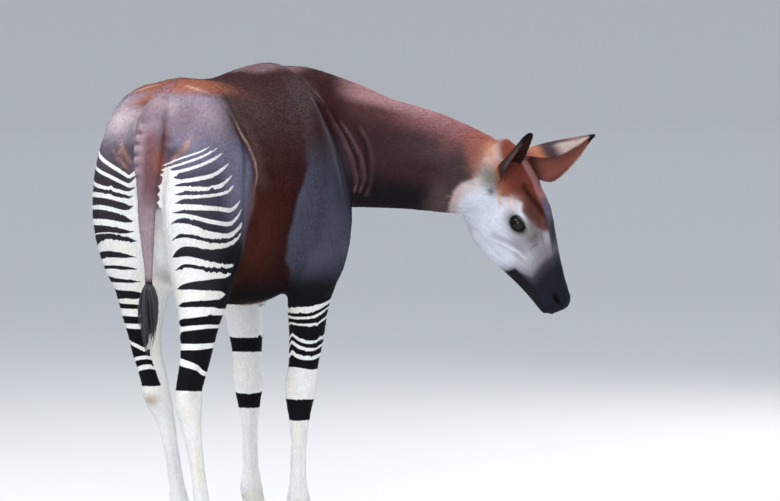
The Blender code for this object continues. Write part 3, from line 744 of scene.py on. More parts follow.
def stripe_fields(limb, points):
    """Where each point lies among a leg's stripes, in three smooth fields.

    The place counts the stripes above the point and runs on by the distance over the stripe's own
    scale near each stripe, so that it changes evenly across it. The share is a stripe's height over
    that scale, and the last field is 10 mm over the scale.
    """
    f, r, z = body_places(points)
    side = 1 if limb.endswith("right") else -1
    centre_f, centre_r = limb_axis(limb, z)
    turn = np.degrees(np.arctan2(side * (r - centre_r), centre_f - f))
    turn = np.where(turn < -150, turn + 360, turn)
    round_turn = np.where(turn < -25, np.interp(turn, (-150, -25), (130, -25)), turn)
    rows = np.array(STRIPES[limb])
    levels = np.array([flow(round_turn, STATIONS, row) for row in rows[:, :5] / 1000])
    heights = np.array([flow(round_turn, STATIONS[1:4], row) for row in rows[:, 5:8] / 1000])
    reach = rows[:, 8:]
    heights *= 1 - rise(turn[None], reach - 24, reach)
    above = (levels > z[None]).sum(0)
    upper = np.clip(above - 1, 0, len(rows) - 2)
    index = np.arange(len(points))
    top, low = levels[upper, index], levels[upper + 1, index]
    gaps = np.maximum(levels[:-1] - levels[1:], 0.008)
    scales = (np.r_[gaps[:1], gaps] + np.r_[gaps, gaps[-1:]]) / 2
    halves = heights / 2
    edges = halves + 0.004
    scales = np.maximum(scales, edges / 0.45)
    gap = np.maximum(top - low, 0.008)
    half, next_half = halves[upper, index], halves[upper + 1, index]
    black = gap - half - next_half
    spare = np.where(black > -0.012, np.clip(0.009 - black, 0, None) / 2, 0)
    half = np.maximum(half - spare, half * 0.3)
    next_half = np.maximum(next_half - spare, next_half * 0.3)
    room = np.clip((gap - half - next_half) * 0.3, 0.0001, 0.004)
    before, after = half + room, next_half + room
    squeeze = np.minimum(1, 0.96 * gap / (before + after))
    before, after = before * squeeze, after * squeeze
    scale, next_scale = scales[upper, index], scales[upper + 1, index]
    first = np.minimum(before / scale, 0.48)
    last = 1 - np.minimum(after / next_scale, 0.48)
    t = np.clip(top - z, 0, gap)
    middle = np.clip((t - before) / np.maximum(gap - before - after, 1e-4), 0, 1)
    place = np.where(t < before, t / before * first, first + middle * (last - first))
    place = np.where(t > gap - after, 1 - (gap - t) / after * (1 - last), place)
    phase = upper + np.clip(place, 0, 1)
    blend = rise(place, 0.47, 0.53)
    share = half / scale * (1 - blend) + next_half / next_scale * blend
    share = np.where(half + next_half >= gap, 1.0, share) * 2
    share = np.where(above == 0, 0, np.minimum(share, 1.25))
    share *= np.where(upper == 0, rise(place, 0.45, 0.6), 1.0)
    fine = 0.01 / (scale * (1 - middle) + next_scale * middle) * np.clip(room / 0.004, 0.2, 1)
    if limb.startswith("hind"):
        # the black runs out in points at the plain white of the inner thigh
        inner = curve(z, *INNER_EDGES[limb])
        taper = curve(z, (1.2, 9), (1.12, 16), (1.04, 26), (0.9, 34), (0.72, 26))
        point = rise(turn, inner + taper, inner - 4) ** 1.6 * rise(z, 0.64, 0.72)
        share += np.clip(1.25 - share, 0, None) * point * (above > 1)
        front = curve(
            z, (1.246, -0.354), (1.056, -0.345), (0.941, -0.393), (0.841, -0.447), (0.78, -0.44)
        )
        share *= np.where(z > 0.8, rise(f, front + 0.012, front - 0.03) ** 0.7, 1.0)
    return phase, share, turn, fine


# How far round each hind leg its plain white reaches: level and degrees from the back
INNER_EDGES = {
    "hind_left": (
        *((1.225, -80), (1.2, -46), (1.17, -34), (1.12, -33), (1.0, -34), (0.84, -35)),
        *((0.72, -41), (0.6, -50)),
    ),
    "hind_right": (
        *((1.228, -60), (1.21, -24), (1.19, -9), (1.17, -5), (1.11, -6), (1.05, -12)),
        *((1.0, -18), (0.94, -24), (0.8, -30), (0.6, -42)),
    ),
}


def white_zone(limb, turn, z):
    """The plain white on a leg's inner side: over half in it, under half outside it."""
    if limb.startswith("hind"):
        edge = curve(z, *INNER_EDGES[limb])
        level = rise(z, 1.245, 1.215) * rise(z, 0.4, 0.62)
    elif limb.endswith("right"):
        edge = np.full(len(z), -50.0)
        level = rise(z, 0.8, 0.785) * rise(z, 0.645, 0.655)
    else:
        edge = curve(z, (0.8, 50), (0.72, 40), (0.64, 75))
        level = rise(z, 0.8, 0.785) * rise(z, 0.63, 0.645)
    inner = rise(turn, edge + 8, edge - 8) * rise(turn, -175, -160)
    return inner * level


def lay(colour, mask, other):
    colour += np.clip(mask, 0, 1)[:, None] * (np.array(other) - colour)


def blot(points, centre, radii, axes=None):
    """A soft round patch."""
    moved = points - np.array(centre)
    if axes is not None:
        moved = moved @ np.array([tuple(a) for a in axes]).T
    return np.exp(-((moved / np.array(radii)) ** 2).sum(1))


HEAD_AXES = (ALONG, RISE, OUT)


def head_blot(points, place, radii):
    return blot(points, on_head(*place), radii, HEAD_AXES)


def stroke(points, path, half):
    """A soft painted stroke along a path of places on the body, of one half width or of several."""
    far, share = path_distance(points, [at(*place) for place in path])
    if np.ndim(half):
        half = np.interp(share, np.linspace(0, 1, len(half)), half)
    return np.exp(-((far / half) ** 2))


def mirrored(path):
    return [(f, -r, z) for f, r, z in path]


# Pinkish fins beside the tail's root: path and half widths
FLARES = (
    (mm((-588, 86, 1200), (-583, 97, 1230), (-572, 120, 1254), (-552, 132, 1282),
        (-532, 138, 1306)), (0.004, 0.011, 0.011, 0.006, 0.002)),
    (mm((-585, -32, 1192), (-577, -52, 1216), (-570, -76, 1248),
        (-556, -96, 1286)), (0.003, 0.008, 0.008, 0.002)),
    (mm((-580, -55, 1192), (-577, -85, 1222), (-572, -110, 1250)), (0.004, 0.005, 0.002)),
)
# Painted highlights on the shoulder's folds, painted shade in its creases: which fold, half width
# and colour
SHOULDER_LIGHT_AND_SHADE = (
    (0, (0.004, 0.012, 0.014, 0.014, 0.01, 0.006), (0.12, 0.11, 0.14)),
    (1, (0.004, 0.01, 0.012, 0.012, 0.006), (0.009, 0.007, 0.008)),
    (3, (0.003, 0.007, 0.008, 0.005), (0.01, 0.007, 0.007)),
    (5, 0.007, (0.012, 0.008, 0.008)),
    (2, (0.003, 0.006, 0.007, 0.007, 0.003), (0.24, 0.13, 0.13)),
    (4, (0.002, 0.005, 0.006, 0.006, 0.003), (0.19, 0.105, 0.105)),
    (6, 0.005, (0.1, 0.055, 0.055)),
)
THIGH_SHADE = mm((-339, 196, 1275), (-337, 206, 1217), (-345, 209, 1150), (-352, 209, 1060))


def trunk_colours(points, colours):
    """The coat's base colour on the trunk and legs, under the white markings, with painted sheen,
    highlights and shade laid into it.
    """
    f, r, z = body_places(points)
    out = np.abs(r)
    colour = np.tile(np.array(colours.mahogany[:]), (len(points), 1))

    def spot(share, place, radii, other):
        lay(colour, share * blot(points, at(*place), radii), other)

    def line(share, path, half, other):
        lay(colour, share * stroke(points, path, half), other)

    lay(colour, rise(z, 1.12, 1.36), colours.back[:])
    lay(colour, 0.7 * rise(z, 1.02, 0.8), (0.014, 0.006, 0.005))
    # painted warm light from behind on the lower flanks
    backlit_glow = blot(points, at(-0.22, 0.2, 0.98), (0.09, 0.1, 0.16))
    backlit_glow += blot(points, at(-0.15, -0.22, 1.0), (0.2, 0.1, 0.2))
    lay(colour, 0.6 * backlit_glow, (0.085, 0.02, 0.012))
    for side in (1, -1):
        spot(0.5, (-0.2, side * 0.1, 1.415), (0.1, 0.07, 0.04), (0.11, 0.036, 0.028))
        # a painted highlight along the fold down each flank
        flank = (
            (-0.285, side * 0.19, 1.32), (-0.265, side * 0.215, 1.24), (-0.255, side * 0.222, 1.15)
        )
        line(0.4, flank, 0.022, (0.16, 0.085, 0.08))
        spot(0.45, (0.12, side * 0.165, 1.39), (0.05, 0.05, 0.05), (0.036, 0.024, 0.03))
    # a painted pinkish highlight along the withers and the croup's rim
    crest_highlight = rise(out, 0.085, 0.035) * rise(f, 0.0, 0.1) * rise(z, 1.455, 1.475)
    lay(colour, 0.75 * crest_highlight, (0.23, 0.14, 0.15))
    # the rump's mauve is partly the coat's own colour and partly painted sheen, and the pale patches
    # after it are painted sheen, strongest on the left
    rump = rise(f, -0.35, -0.46) * rise(z, 1.02, 1.24)
    lay(colour, rump, colours.rump[:])
    spot(0.6, (-0.505, 0.09, 1.33), (0.05, 0.05, 0.05), (0.16, 0.115, 0.14))
    for place, radii, share in (
        ((-0.515, -0.14, 1.3), (0.1, 0.065, 0.085), 1.0),
        ((-0.49, -0.178, 1.245), (0.09, 0.045, 0.05), 0.9),
        ((-0.51, 0.03, 1.38), (0.04, 0.04, 0.035), 0.45),
        ((-0.47, 0.165, 1.33), (0.05, 0.04, 0.06), 0.35),
    ):
        spot(share, place, radii, (0.5, 0.41, 0.43))
    spot(0.6, (-0.545, -0.065, 1.3), (0.03, 0.03, 0.035), (0.23, 0.21, 0.23))
    # the croup's orange-brown is partly the coat's own colour and partly painted sunlight
    croup = rise(z, 1.395, 1.43) * rise(f, -0.52, -0.44) * rise(f, -0.17, -0.3)
    croup = np.maximum(croup, blot(points, at(-0.475, -0.05, 1.395), (0.05, 0.03, 0.03)))
    lay(colour, 0.9 * croup, colours.croup[:])
    lay(colour, 0.45 * croup * rise(f, -0.36, -0.24), (0.13, 0.045, 0.028))
    spot(0.6, (-0.49, -0.036, 1.378), (0.03, 0.014, 0.025), (0.075, 0.034, 0.024))
    hip = curve(
        z, (0.85, -0.285), (0.98, -0.3), (1.11, -0.298), (1.166, -0.284), (1.205, -0.287), (
            1.265, -0.316
        ),
        (1.329, -0.362), (1.372, -0.406),
    )
    # the thigh's charcoal, whose bluish tint is partly painted sheen
    thigh = rise(f, hip, hip - 0.045) * rise(z, 1.345, 1.215) * rise(out, 0.02, 0.07)
    lay(colour, thigh, colours.charcoal[:])
    lay(colour, thigh * rise(r, 0.02, -0.02) * 0.75, (0.07, 0.045, 0.047))
    lay(colour, thigh * rise(z, 1.14, 0.94), colours.black[:])
    lay(colour, 0.75 * thigh * rise(f, -0.44, -0.52) * rise(z, 1.235, 1.16), (0.026, 0.023, 0.031))
    line(0.7, TAIL_HEAD, 0.022, (0.23, 0.12, 0.135))
    for path, halves in FLARES:
        line(0.85, path, halves, (0.47, 0.27, 0.23))
    # painted shade on the rump beside the tail's root
    for side in (1, -1):
        spot(0.8, (-0.575, 0.02 + side * 0.062, 1.25), (0.05, 0.012, 0.045), (0.028, 0.015, 0.017))
    for turn in (list, mirrored):
        line(0.75, turn(THIGH_SHADE), 0.011, (0.013, 0.01, 0.012))
        # a painted highlight along the flank's fold
        edge = stroke(points, turn(BODY_FOLDS[8][0]), 0.0045) * rise(z, 1.09, 1.18)
        lay(colour, 0.85 * edge, (0.56, 0.35, 0.3))
        # a painted highlight along the thigh's front edge
        front = ((-0.3, 0.213, 1.13), (-0.315, 0.212, 1.06), (-0.345, 0.209, 0.98))
        line(0.55, turn(front), 0.014, (0.2, 0.11, 0.11))
    # the shoulder and upper foreleg: the dark coat with painted bluish sheen
    arm_back = curve(
        z, (1.2, 0.05), (1.156, 0.013), (1.07, -0.035), (0.98, -0.06), (0.91, -0.03), (0.82, 0.1)
    )
    seen = rise(r, -0.02, 0.02)
    arm = rise(f, arm_back - 0.008 - 0.06 * (1 - seen), arm_back + 0.012 + 0.06 * (1 - seen))
    arm *= rise(z, 1.32, 1.12) * rise(out, 0.05, 0.12) * (0.45 + 0.55 * seen)
    arm *= rise(f, 0.5, 0.4)
    lay(colour, arm, colours.shoulder[:])
    lay(colour, 0.5 * arm * rise(f, 0.22, 0.33) * rise(z, 0.98, 1.1), (0.02, 0.018, 0.024))
    lay(colour, arm * rise(z, 0.92, 0.8), colours.black[:])
    neck_way = np.array(way(0.35, 0.75, -0.25).normalized())
    reach = (points - np.array(at(0.4, 0.04, 1.25))) @ neck_way
    on_neck = rise(reach, 0.02, 0.14) * rise(f, 0.36, 0.46)
    under = np.interp(reach, (0, 0.62), (1.3, 1.16)) - z
    # the neck's coat darkens below, and painted sheen lightens its top, more towards the head
    lay(colour, on_neck, (0.044, 0.0205, 0.022))
    lay(colour, on_neck * rise(under, 0.06, 0.13) * 0.9, (0.0105, 0.01, 0.0125))
    flank = rise(under, 0.05, 0.0) * rise(under, -0.1, -0.02) * rise(reach, 0.2, 0.4)
    lay(colour, 0.35 * on_neck * flank, (0.075, 0.06, 0.068))
    lay(colour, on_neck * rise(under, -0.02, -0.09) * 0.8, (0.085, 0.035, 0.036))
    top = rise(reach, 0.18, 0.38) * rise(under, -0.035, -0.11)
    lay(colour, on_neck * top * 0.85, (0.27, 0.125, 0.135))
    lay(colour, on_neck * rise(under, -0.09, -0.125) * 0.9, (0.33, 0.18, 0.185))
    lay(colour, rise(reach, 0.34, 0.6) * rise(under, 0.03, -0.05) * 0.85, (0.33, 0.125, 0.115))
    # painted highlights on the shoulder's folds and painted shade in its creases
    for fold, half, shade in SHOULDER_LIGHT_AND_SHADE:
        line(0.85, BODY_FOLDS[fold][0], half, shade)
    lay(colour, rise(z, 0.86, 0.78) * rise(out, 0.03, 0.09), colours.black[:])
    spot(0.95, (0.07, 0.015, 0.765), (0.045, 0.035, 0.025), (0.44, 0.31, 0.22))
    return colour


def tail_colours(points, colours):
    """Pale mauve, partly painted sheen, with painted shade in the notches down the left and painted
    highlights on the beads between them, red-brown down the upper right.
    """
    f, r, z = body_places(points)
    colour = np.tile(np.array(colours.tail[:]), (len(points), 1))

    def spot(share, place, radii, other):
        lay(colour, share * blot(points, at(*place), radii), other)

    right = rise(r, 0.006, 0.03) * rise(z, 1.33, 1.28)
    lay(colour, 0.8 * right * rise(z, 1.04, 1.14), (0.14, 0.055, 0.055))
    spot(0.7, (-0.6, 0.066, 1.215), (0.05, 0.016, 0.03), (0.36, 0.09, 0.04))
    far, share = path_distance(points, [at(*place) for place in TAIL_RIDGE])
    notch = 1 - np.abs(np.sin(share * math.pi * 5.0 + 0.3))
    on_ridge = np.exp(-((far / 0.016) ** 2)) * rise(z, 1.15, 1.18)
    # painted shade in the notches between the tail's beads, painted highlights on the beads
    lay(colour, 0.8 * on_ridge * rise(notch, 0.4, 0.8), (0.075, 0.04, 0.047))
    lay(colour, 0.6 * on_ridge * rise(notch, 0.4, 0.1), (0.43, 0.34, 0.37))
    rings = 0.5 + 0.5 * np.sin(z * 150 + 0.6)
    lay(colour, 0.3 * rings * rise(z, 0.9, 1.0) * rise(z, 1.2, 1.15), (0.08, 0.045, 0.05))
    lay(colour, 0.6 * rise(z, 1.14, 1.02), (0.36, 0.28, 0.31))
    lay(colour, rise(z, 0.885, 0.865), colours.black[:])
    return colour


def head_colours(points, colours):
    """The face: pale cheeks, red-brown forehead, dark brow, slate stripe down the nose, muzzle;
    painted highlights on its ridges, painted shade in its hollows and creases.
    """
    a, u, o = head_places(points)
    out = np.abs(o)
    colour = np.tile(np.array(colours.cheek[:]), (len(points), 1))

    def spot(share, place, radii, other):
        lay(colour, share * head_blot(points, place, radii), other)

    def line(share, path, half, other, side):
        far = path_distance(points, [on_head(a, u, side * o) for a, u, o in path])[0]
        lay(colour, share * np.exp(-((far / half) ** 2)), other)

    # the neck's red-brown ends behind the jaw in a buff edge
    edge = curve(
        u, (-0.26, 0.19), (-0.22, 0.16), (-0.19, 0.133), (-0.165, 0.106), (-0.15, 0.089), (
            -0.121, 0.074
        ),
        (-0.08, 0.075), (-0.055, 0.063), (-0.043, 0.04), (-0.027, 0.011), (0.0, 0.0),
    )
    behind = rise(a, edge + 0.006, edge - 0.012)
    lay(colour, 0.75 * rise(a, edge + 0.05, edge + 0.018), (0.56, 0.46, 0.43))
    lay(colour, 0.5 * rise(a, edge + 0.05, edge + 0.01) * rise(u, -0.1, -0.13), (0.46, 0.3, 0.29))
    lay(colour, behind, (0.27, 0.09, 0.075))
    lay(colour, behind * rise(u, -0.06, -0.1), (0.055, 0.038, 0.04))
    lay(colour, 0.5 * behind * rise(u, -0.15, -0.2), (0.12, 0.08, 0.08))
    # grey side of the face, darker towards the nose
    lay(colour, 0.65 * rise(a, 0.245, 0.315) * rise(u, -0.075, -0.03), (0.3, 0.285, 0.32))
    lay(colour, 0.55 * rise(a, 0.315, 0.36) * rise(u, -0.02, 0.02), (0.15, 0.125, 0.14))
    # red-brown forehead down to a pale patch over the eye, and on as a brow to the nose's stripe
    low = curve(
        a, (0.04, -0.02), (0.08, -0.036), (0.148, -0.034), (0.163, -0.006), (0.18, 0.012), (
            0.195, 0.029
        ),
        (0.218, 0.019), (0.243, 0.028), (0.271, 0.036), (0.295, 0.044), (0.315, 0.06),
    )
    forehead = rise(u, low - 0.006, low + 0.01) * rise(a, 0.325, 0.296) * rise(a, 0.02, 0.06)
    forehead = np.maximum(forehead, rise(u, -0.01, 0.02) * rise(a, 0.1, 0.04))
    lay(colour, forehead, colours.forehead[:])
    for side in (1, -1):
        spot(0.8, (0.135, -0.012, side * 0.086), (0.035, 0.018, 0.04), (0.33, 0.125, 0.07))
        fringe = ((0.137, -0.026, 0.088), (0.155, -0.033, 0.087), (0.176, -0.036, 0.085))
        line(0.75, fringe, 0.007, (0.52, 0.3, 0.2), side)
        brow = head_blot(points, (0.245, 0.046, side * 0.064), (0.05, 0.018, 0.035))
        lay(colour, 0.85 * forehead * brow, (0.055, 0.03, 0.025))
        shade = (
            (0.15, 0.048, 0.058), (0.175, 0.052, 0.053), (0.206, 0.06, 0.045), (0.255, 0.068, 0.03),
            (0.285, 0.068, 0.026),
        )
        line(0.9, shade, 0.012, (0.022, 0.01, 0.008), side)
        spot(0.75, (0.272, 0.062, side * 0.036), (0.018, 0.012, 0.01), (0.13, 0.058, 0.04))
    # a painted pinkish highlight along the raised middle of the forehead
    ridge_highlight = rise(out, 0.034, 0.018) * rise(u, 0.045, 0.06)
    ridge_highlight *= rise(a, 0.05, 0.09) * rise(a, 0.225, 0.195)
    lay(colour, 0.85 * ridge_highlight, (0.4, 0.19, 0.185))
    # slate stripe down the nose
    stripe = rise(out, 0.03, 0.019) * rise(u, 0.018, 0.034) * rise(a, 0.185, 0.225)
    lay(colour, stripe, (0.135, 0.122, 0.18))
    lay(colour, 0.85 * stripe * rise(a, 0.245, 0.3), (0.036, 0.035, 0.052))
    # dark muzzle, with the lip's pale streak running into it
    dark = curve(
        u, (-0.07, 0.393), (-0.056, 0.406), (-0.041, 0.418), (-0.025, 0.41), (0.0, 0.394),
        (0.027, 0.382), (0.05, 0.376),
    )
    lay(colour, 0.65 * rise(a, dark - 0.05, dark - 0.004), (0.165, 0.14, 0.165))
    lay(colour, 0.95 * rise(a, dark - 0.01, dark + 0.018), (0.04, 0.036, 0.05))
    lay(colour, rise(a, dark + 0.012, dark + 0.05), colours.muzzle[:])
    chin = curve(
        a, (0.36, -0.086), (0.385, -0.078), (0.4, -0.072), (0.43, -0.058), (0.458, -0.051),
        (0.5, -0.047),
    )
    lay(
        colour, rise(u, chin + 0.004, chin - 0.006) * rise(a, 0.374, 0.388), (0.015, 0.0145, 0.0165)
    )
    for side in (1, -1):
        # pale patch over the eye, cream behind the ear, and painted shade greying the hollow under
        # it, darkest in a spot
        spot(0.95, (0.188, 0.002, side * 0.08), (0.022, 0.022, 0.04), (0.66, 0.52, 0.5))
        spot(0.9, (0.012, -0.016, side * 0.065), (0.035, 0.022, 0.05), (0.48, 0.22, 0.13))
        spot(0.9, (0.046, -0.026, side * 0.09), (0.024, 0.024, 0.04), (0.6, 0.36, 0.28))
        spot(1.1, (0.08, -0.04, side * 0.094), (0.045, 0.026, 0.04), (0.2, 0.19, 0.165))
        spot(0.85, (0.125, -0.046, side * 0.094), (0.017, 0.012, 0.03), (0.045, 0.036, 0.04))
        spot(0.8, (0.268, 0.032, side * 0.072), (0.034, 0.013, 0.03), (0.15, 0.095, 0.08))
        spot(1.0, (0.305, 0.02, side * 0.062), (0.036, 0.034, 0.035), (0.13, 0.105, 0.115))
        spot(0.35, (0.32, -0.03, side * 0.066), (0.03, 0.025, 0.03), (0.22, 0.205, 0.225))
        # painted highlight along the face's crest, painted shade in the slate above it and in thin
        # creases in front of it
        line(0.75, HEAD_FOLDS[0][0], 0.006, (0.72, 0.72, 0.76), side)
        above = ((0.262, -0.095, 0.074), (0.3, -0.058, 0.07), (0.335, -0.028, 0.062))
        line(0.55, above, 0.014, (0.27, 0.27, 0.31), side)
        crease = ((0.342, -0.01, 0.058), (0.336, 0.004, 0.057), (0.332, 0.022, 0.052))
        line(0.7, crease, 0.0028, (0.06, 0.045, 0.05), side)
        vein = ((0.3, 0.044, 0.05), (0.335, 0.04, 0.045), (0.375, 0.036, 0.042))
        line(0.6, vein, 0.0045, (0.11, 0.065, 0.06), side)
        lip = (
            (0.34, -0.056, 0.058), (0.367, -0.045, 0.054), (0.387, -0.035, 0.05),
            (0.42, -0.03, 0.046),
        )
        far, share = path_distance(points, [on_head(x, y, side * w) for x, y, w in lip])
        lay(colour, 0.8 * np.exp(-((far / 0.009) ** 2)) * rise(share, 1.0, 0.4), (0.44, 0.4, 0.44))
        # painted shade along the mouth's line
        mouth = [on_head(x, y, side * w) for x, y, w in MOUTH_LINE]
        far, share = path_distance(points, mouth)
        lay(
            colour, 0.9 * np.exp(-((far / 0.0035) ** 2)) * rise(a, 0.4, 0.43), (0.004, 0.004, 0.005)
        )
        # painted shade in the nostril's opening
        spot(1.2, (0.512, 0.012, side * 0.036), (0.02, 0.009, 0.022), (0.005, 0.004, 0.005))
        # dark skin round the eye, olive grey ahead of it, and painted shade in the hollow round and
        # below it
        spot(0.7, (0.29, 0.018, side * 0.066), (0.02, 0.014, 0.03), (0.21, 0.215, 0.19))
        centre, look, along, up = eye_axes(side)
        moved = points - np.array(centre)
        x, y = moved @ np.array(along), moved @ np.array(up)
        near = (o * side > 0.03) * rise(np.linalg.norm(moved, axis=1), 0.075, 0.055)
        dark = np.hypot(x / 0.0295, (y + 0.001) / 0.023) + 0.25 * np.clip(y - 0.012, 0, 1) / 0.01
        lay(colour, 0.65 * near * rise(dark, 2.6, 1.3) * rise(y, 0.04, 0.01), (0.3, 0.285, 0.285))
        lay(colour, 0.8 * near * rise(dark, 1.55, 1.05), (0.12, 0.118, 0.11))
        lay(colour, near * rise(dark, 1.1, 0.95), (0.018, 0.018, 0.02))
    return colour


def ear_half_width(share):
    return np.interp(
        share, (0.0, 0.3, 0.5, 0.7, 0.9, 1.0), (0.044, 0.06, 0.052, 0.042, 0.022, 0.008)
    )


def ear_inside(side, points, normals):
    """1 inside the ear's cup and 0 on its back, by whether the surface faces the cup's middle."""
    share = ear_places(side, points)[0]
    root, axis, cup = ear_axes(side)[:3]
    middle = np.array(root) + (share * EAR_LENGTH)[:, None] * np.array(axis)
    inward = middle + (0.55 * ear_half_width(share))[:, None] * np.array(cup) - points
    facing = (normals * inward).sum(1) / np.maximum(np.linalg.norm(inward, axis=1), 1e-6)
    return rise(facing, -0.15, 0.25)


def ear_colours(side, points, normals, colours):
    """Orange-brown root, slate and pale bands on the back, red-brown inside, black tip; painted
    sheen on the back's edges and painted shade over the right ear.
    """
    share, across = ear_places(side, points)[:2]
    inside = ear_inside(side, points, normals)
    colour = np.tile(np.array(colours.ear_back[:]), (len(points), 1))
    lay(colour, 0.95 * rise(share, 0.15, 0.28), (0.04, 0.028, 0.038))
    lay(colour, 0.85 * rise(share, 0.52, 0.68), (0.215, 0.125, 0.12))
    # painted sheen along the back's edges towards the tip
    edge = rise(np.abs(across) / ear_half_width(share), 0.7, 0.88)
    lay(colour, 0.8 * edge * rise(share, 0.32, 0.5), (0.52, 0.4, 0.35))
    lay(colour, inside, colours.ear_inside[:])
    lay(colour, inside * rise(share, 0.3, 0.1), (0.06, 0.022, 0.017))
    rim = rise(np.abs(across) / ear_half_width(share), 0.9, 0.99)
    lay(colour, 0.6 * rim * inside * rise(share, 0.2, 0.35), (0.11, 0.035, 0.028))
    # painted shade over the right ear: its back past the root darker, its inside and one edge
    # darkest
    if side == "right":
        lay(colour, 0.85 * (1 - inside) * rise(share, 0.12, 0.25), (0.04, 0.024, 0.02))
        dark = np.maximum(inside, rise(across, -0.035, -0.015))
        lay(colour, 0.95 * rise(share, 0.1, 0.22) * dark, (0.011, 0.005, 0.004))
    lay(colour, rise(share, 0.87, 0.93), (0.01, 0.007, 0.008))
    return colour


def nearest_nodes(points):
    """The names of the flesh nodes, and which of them each point is nearest to."""
    names = [*TRUNK_NODES, *HEAD_NODES]
    verts, faces, owner = [], [], []
    for k, name in enumerate(names):
        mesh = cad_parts[name].data
        start = len(verts)
        verts += [tuple(p) for p in points_of(mesh)]
        faces += [tuple(i + start for i in polygon.vertices) for polygon in mesh.polygons]
        owner += [k] * len(mesh.polygons)
    tree = BVHTree.FromPolygons(verts, faces)
    return names, np.array([owner[tree.find_nearest(Vector(p))[2]] for p in points])


def kinds_of(names, part):
    """The first word of the nearest node's name, such as leg, for each point."""
    return np.array([name.split("_")[0] for name in names])[part]


def lie_field(points, normals, part, names):
    """The way in which the hair lies at each point."""
    f, r, z = body_places(points)
    a = head_places(points)[0]
    back = np.array(way(-1, 0, 0))
    down = np.array(way(0, 0, -1))
    lie = np.empty_like(points)
    lie[:] = back * 0.8 + down * 0.55
    lie += rise(z, 1.2, 1.45)[:, None] * (back - lie) * 0.8
    lie += rise(z, 1.0, 0.8)[:, None] * (down - lie) * 0.5
    kind = kinds_of(names, part)
    legs = kind == "leg"
    lie[legs] = down + back * 0.15
    rump = (rise(f, -0.42, -0.55) * (kind == "torso"))[:, None]
    lie += rump * (down + back * 0.2 - lie)
    neck = kind == "neck"
    lie[neck] = -np.array(way(0.35, 0.8, -0.15)) + down * 0.45
    lie[kind == "tail"] = down
    head = kind == "head"
    lie[head] = -np.array(ALONG) - np.array(RISE) * 0.25
    lie[head] += (rise(a, 0.42, 0.52)[head] * 0.4)[:, None] * np.array(RISE) * -1
    for side in EARS:
        lie[part == names.index("ear_" + side)] = np.array(ear_axes(side)[1])
    lie -= (lie * normals).sum(1)[:, None] * normals
    return lie / np.maximum(np.linalg.norm(lie, axis=1), 1e-6)[:, None]


def coat_fields(points, normals, part, names):
    """Length, fullness and lift of the coat at each point."""
    f, r, z = body_places(points)
    a = head_places(points)[0]
    kind = kinds_of(names, part)
    length = np.full(len(points), 0.014)
    fullness = np.full(len(points), 1.0)
    lift = np.full(len(points), 0.075)
    length[kind == "leg"] = np.interp(z[kind == "leg"], (0.45, 0.8, 1.2), (0.008, 0.01, 0.013))
    lift += 0.1 * rise(z, 0.2, 0.12) * (kind == "leg")
    length += 0.006 * (rise(np.abs(r), 0.04, 0.01) * rise(z, 1.38, 1.43) * (kind == "torso"))
    belly = rise(normals[:, 2], -0.5, -0.9) * (kind == "torso")
    length += 0.008 * belly
    lift += 0.1 * belly
    length[kind == "tail"] = 0.014
    head = kind == "head"
    length[head] = np.interp(a[head], (0.0, 0.15, 0.4, 0.5), (0.013, 0.01, 0.006, 0.0035))
    lift[head] = 0.14
    fullness[head] = np.interp(a[head], (0.0, 0.2, 0.45), (1.3, 1.7, 2.2))
    bare = head_blot(points, (0.512, 0.012, 0.036), (0.02, 0.012, 0.02))
    bare += head_blot(points, (0.512, 0.012, -0.036), (0.02, 0.012, 0.02))
    for side in (1, -1):
        centre = on_head(EYE[0], EYE[1], side * EYE[2])
        ring = np.linalg.norm(points - np.array(centre), axis=1)
        bare = np.maximum(bare, rise(ring, 0.04, 0.034) * head)
    nose_end = rise(a, 0.535, 0.548) * head
    fullness *= 1 - np.clip(bare + nose_end, 0, 1)
    for side in EARS:
        chosen = part == names.index("ear_" + side)
        share, across = ear_places(side, points)[:2]
        inside = ear_inside(side, points, normals)
        rim = rise(np.abs(across) / ear_half_width(share), 0.8, 0.95)
        length[chosen] = (0.007 + 0.002 * rim - 0.0025 * inside)[chosen]
        fullness[chosen] = (1.7 + 0.8 * rim - 1.35 * inside)[chosen]
        lift[chosen] = (0.08 + 0.06 * rim + 0.1 * inside)[chosen]
    return length, fullness, lift


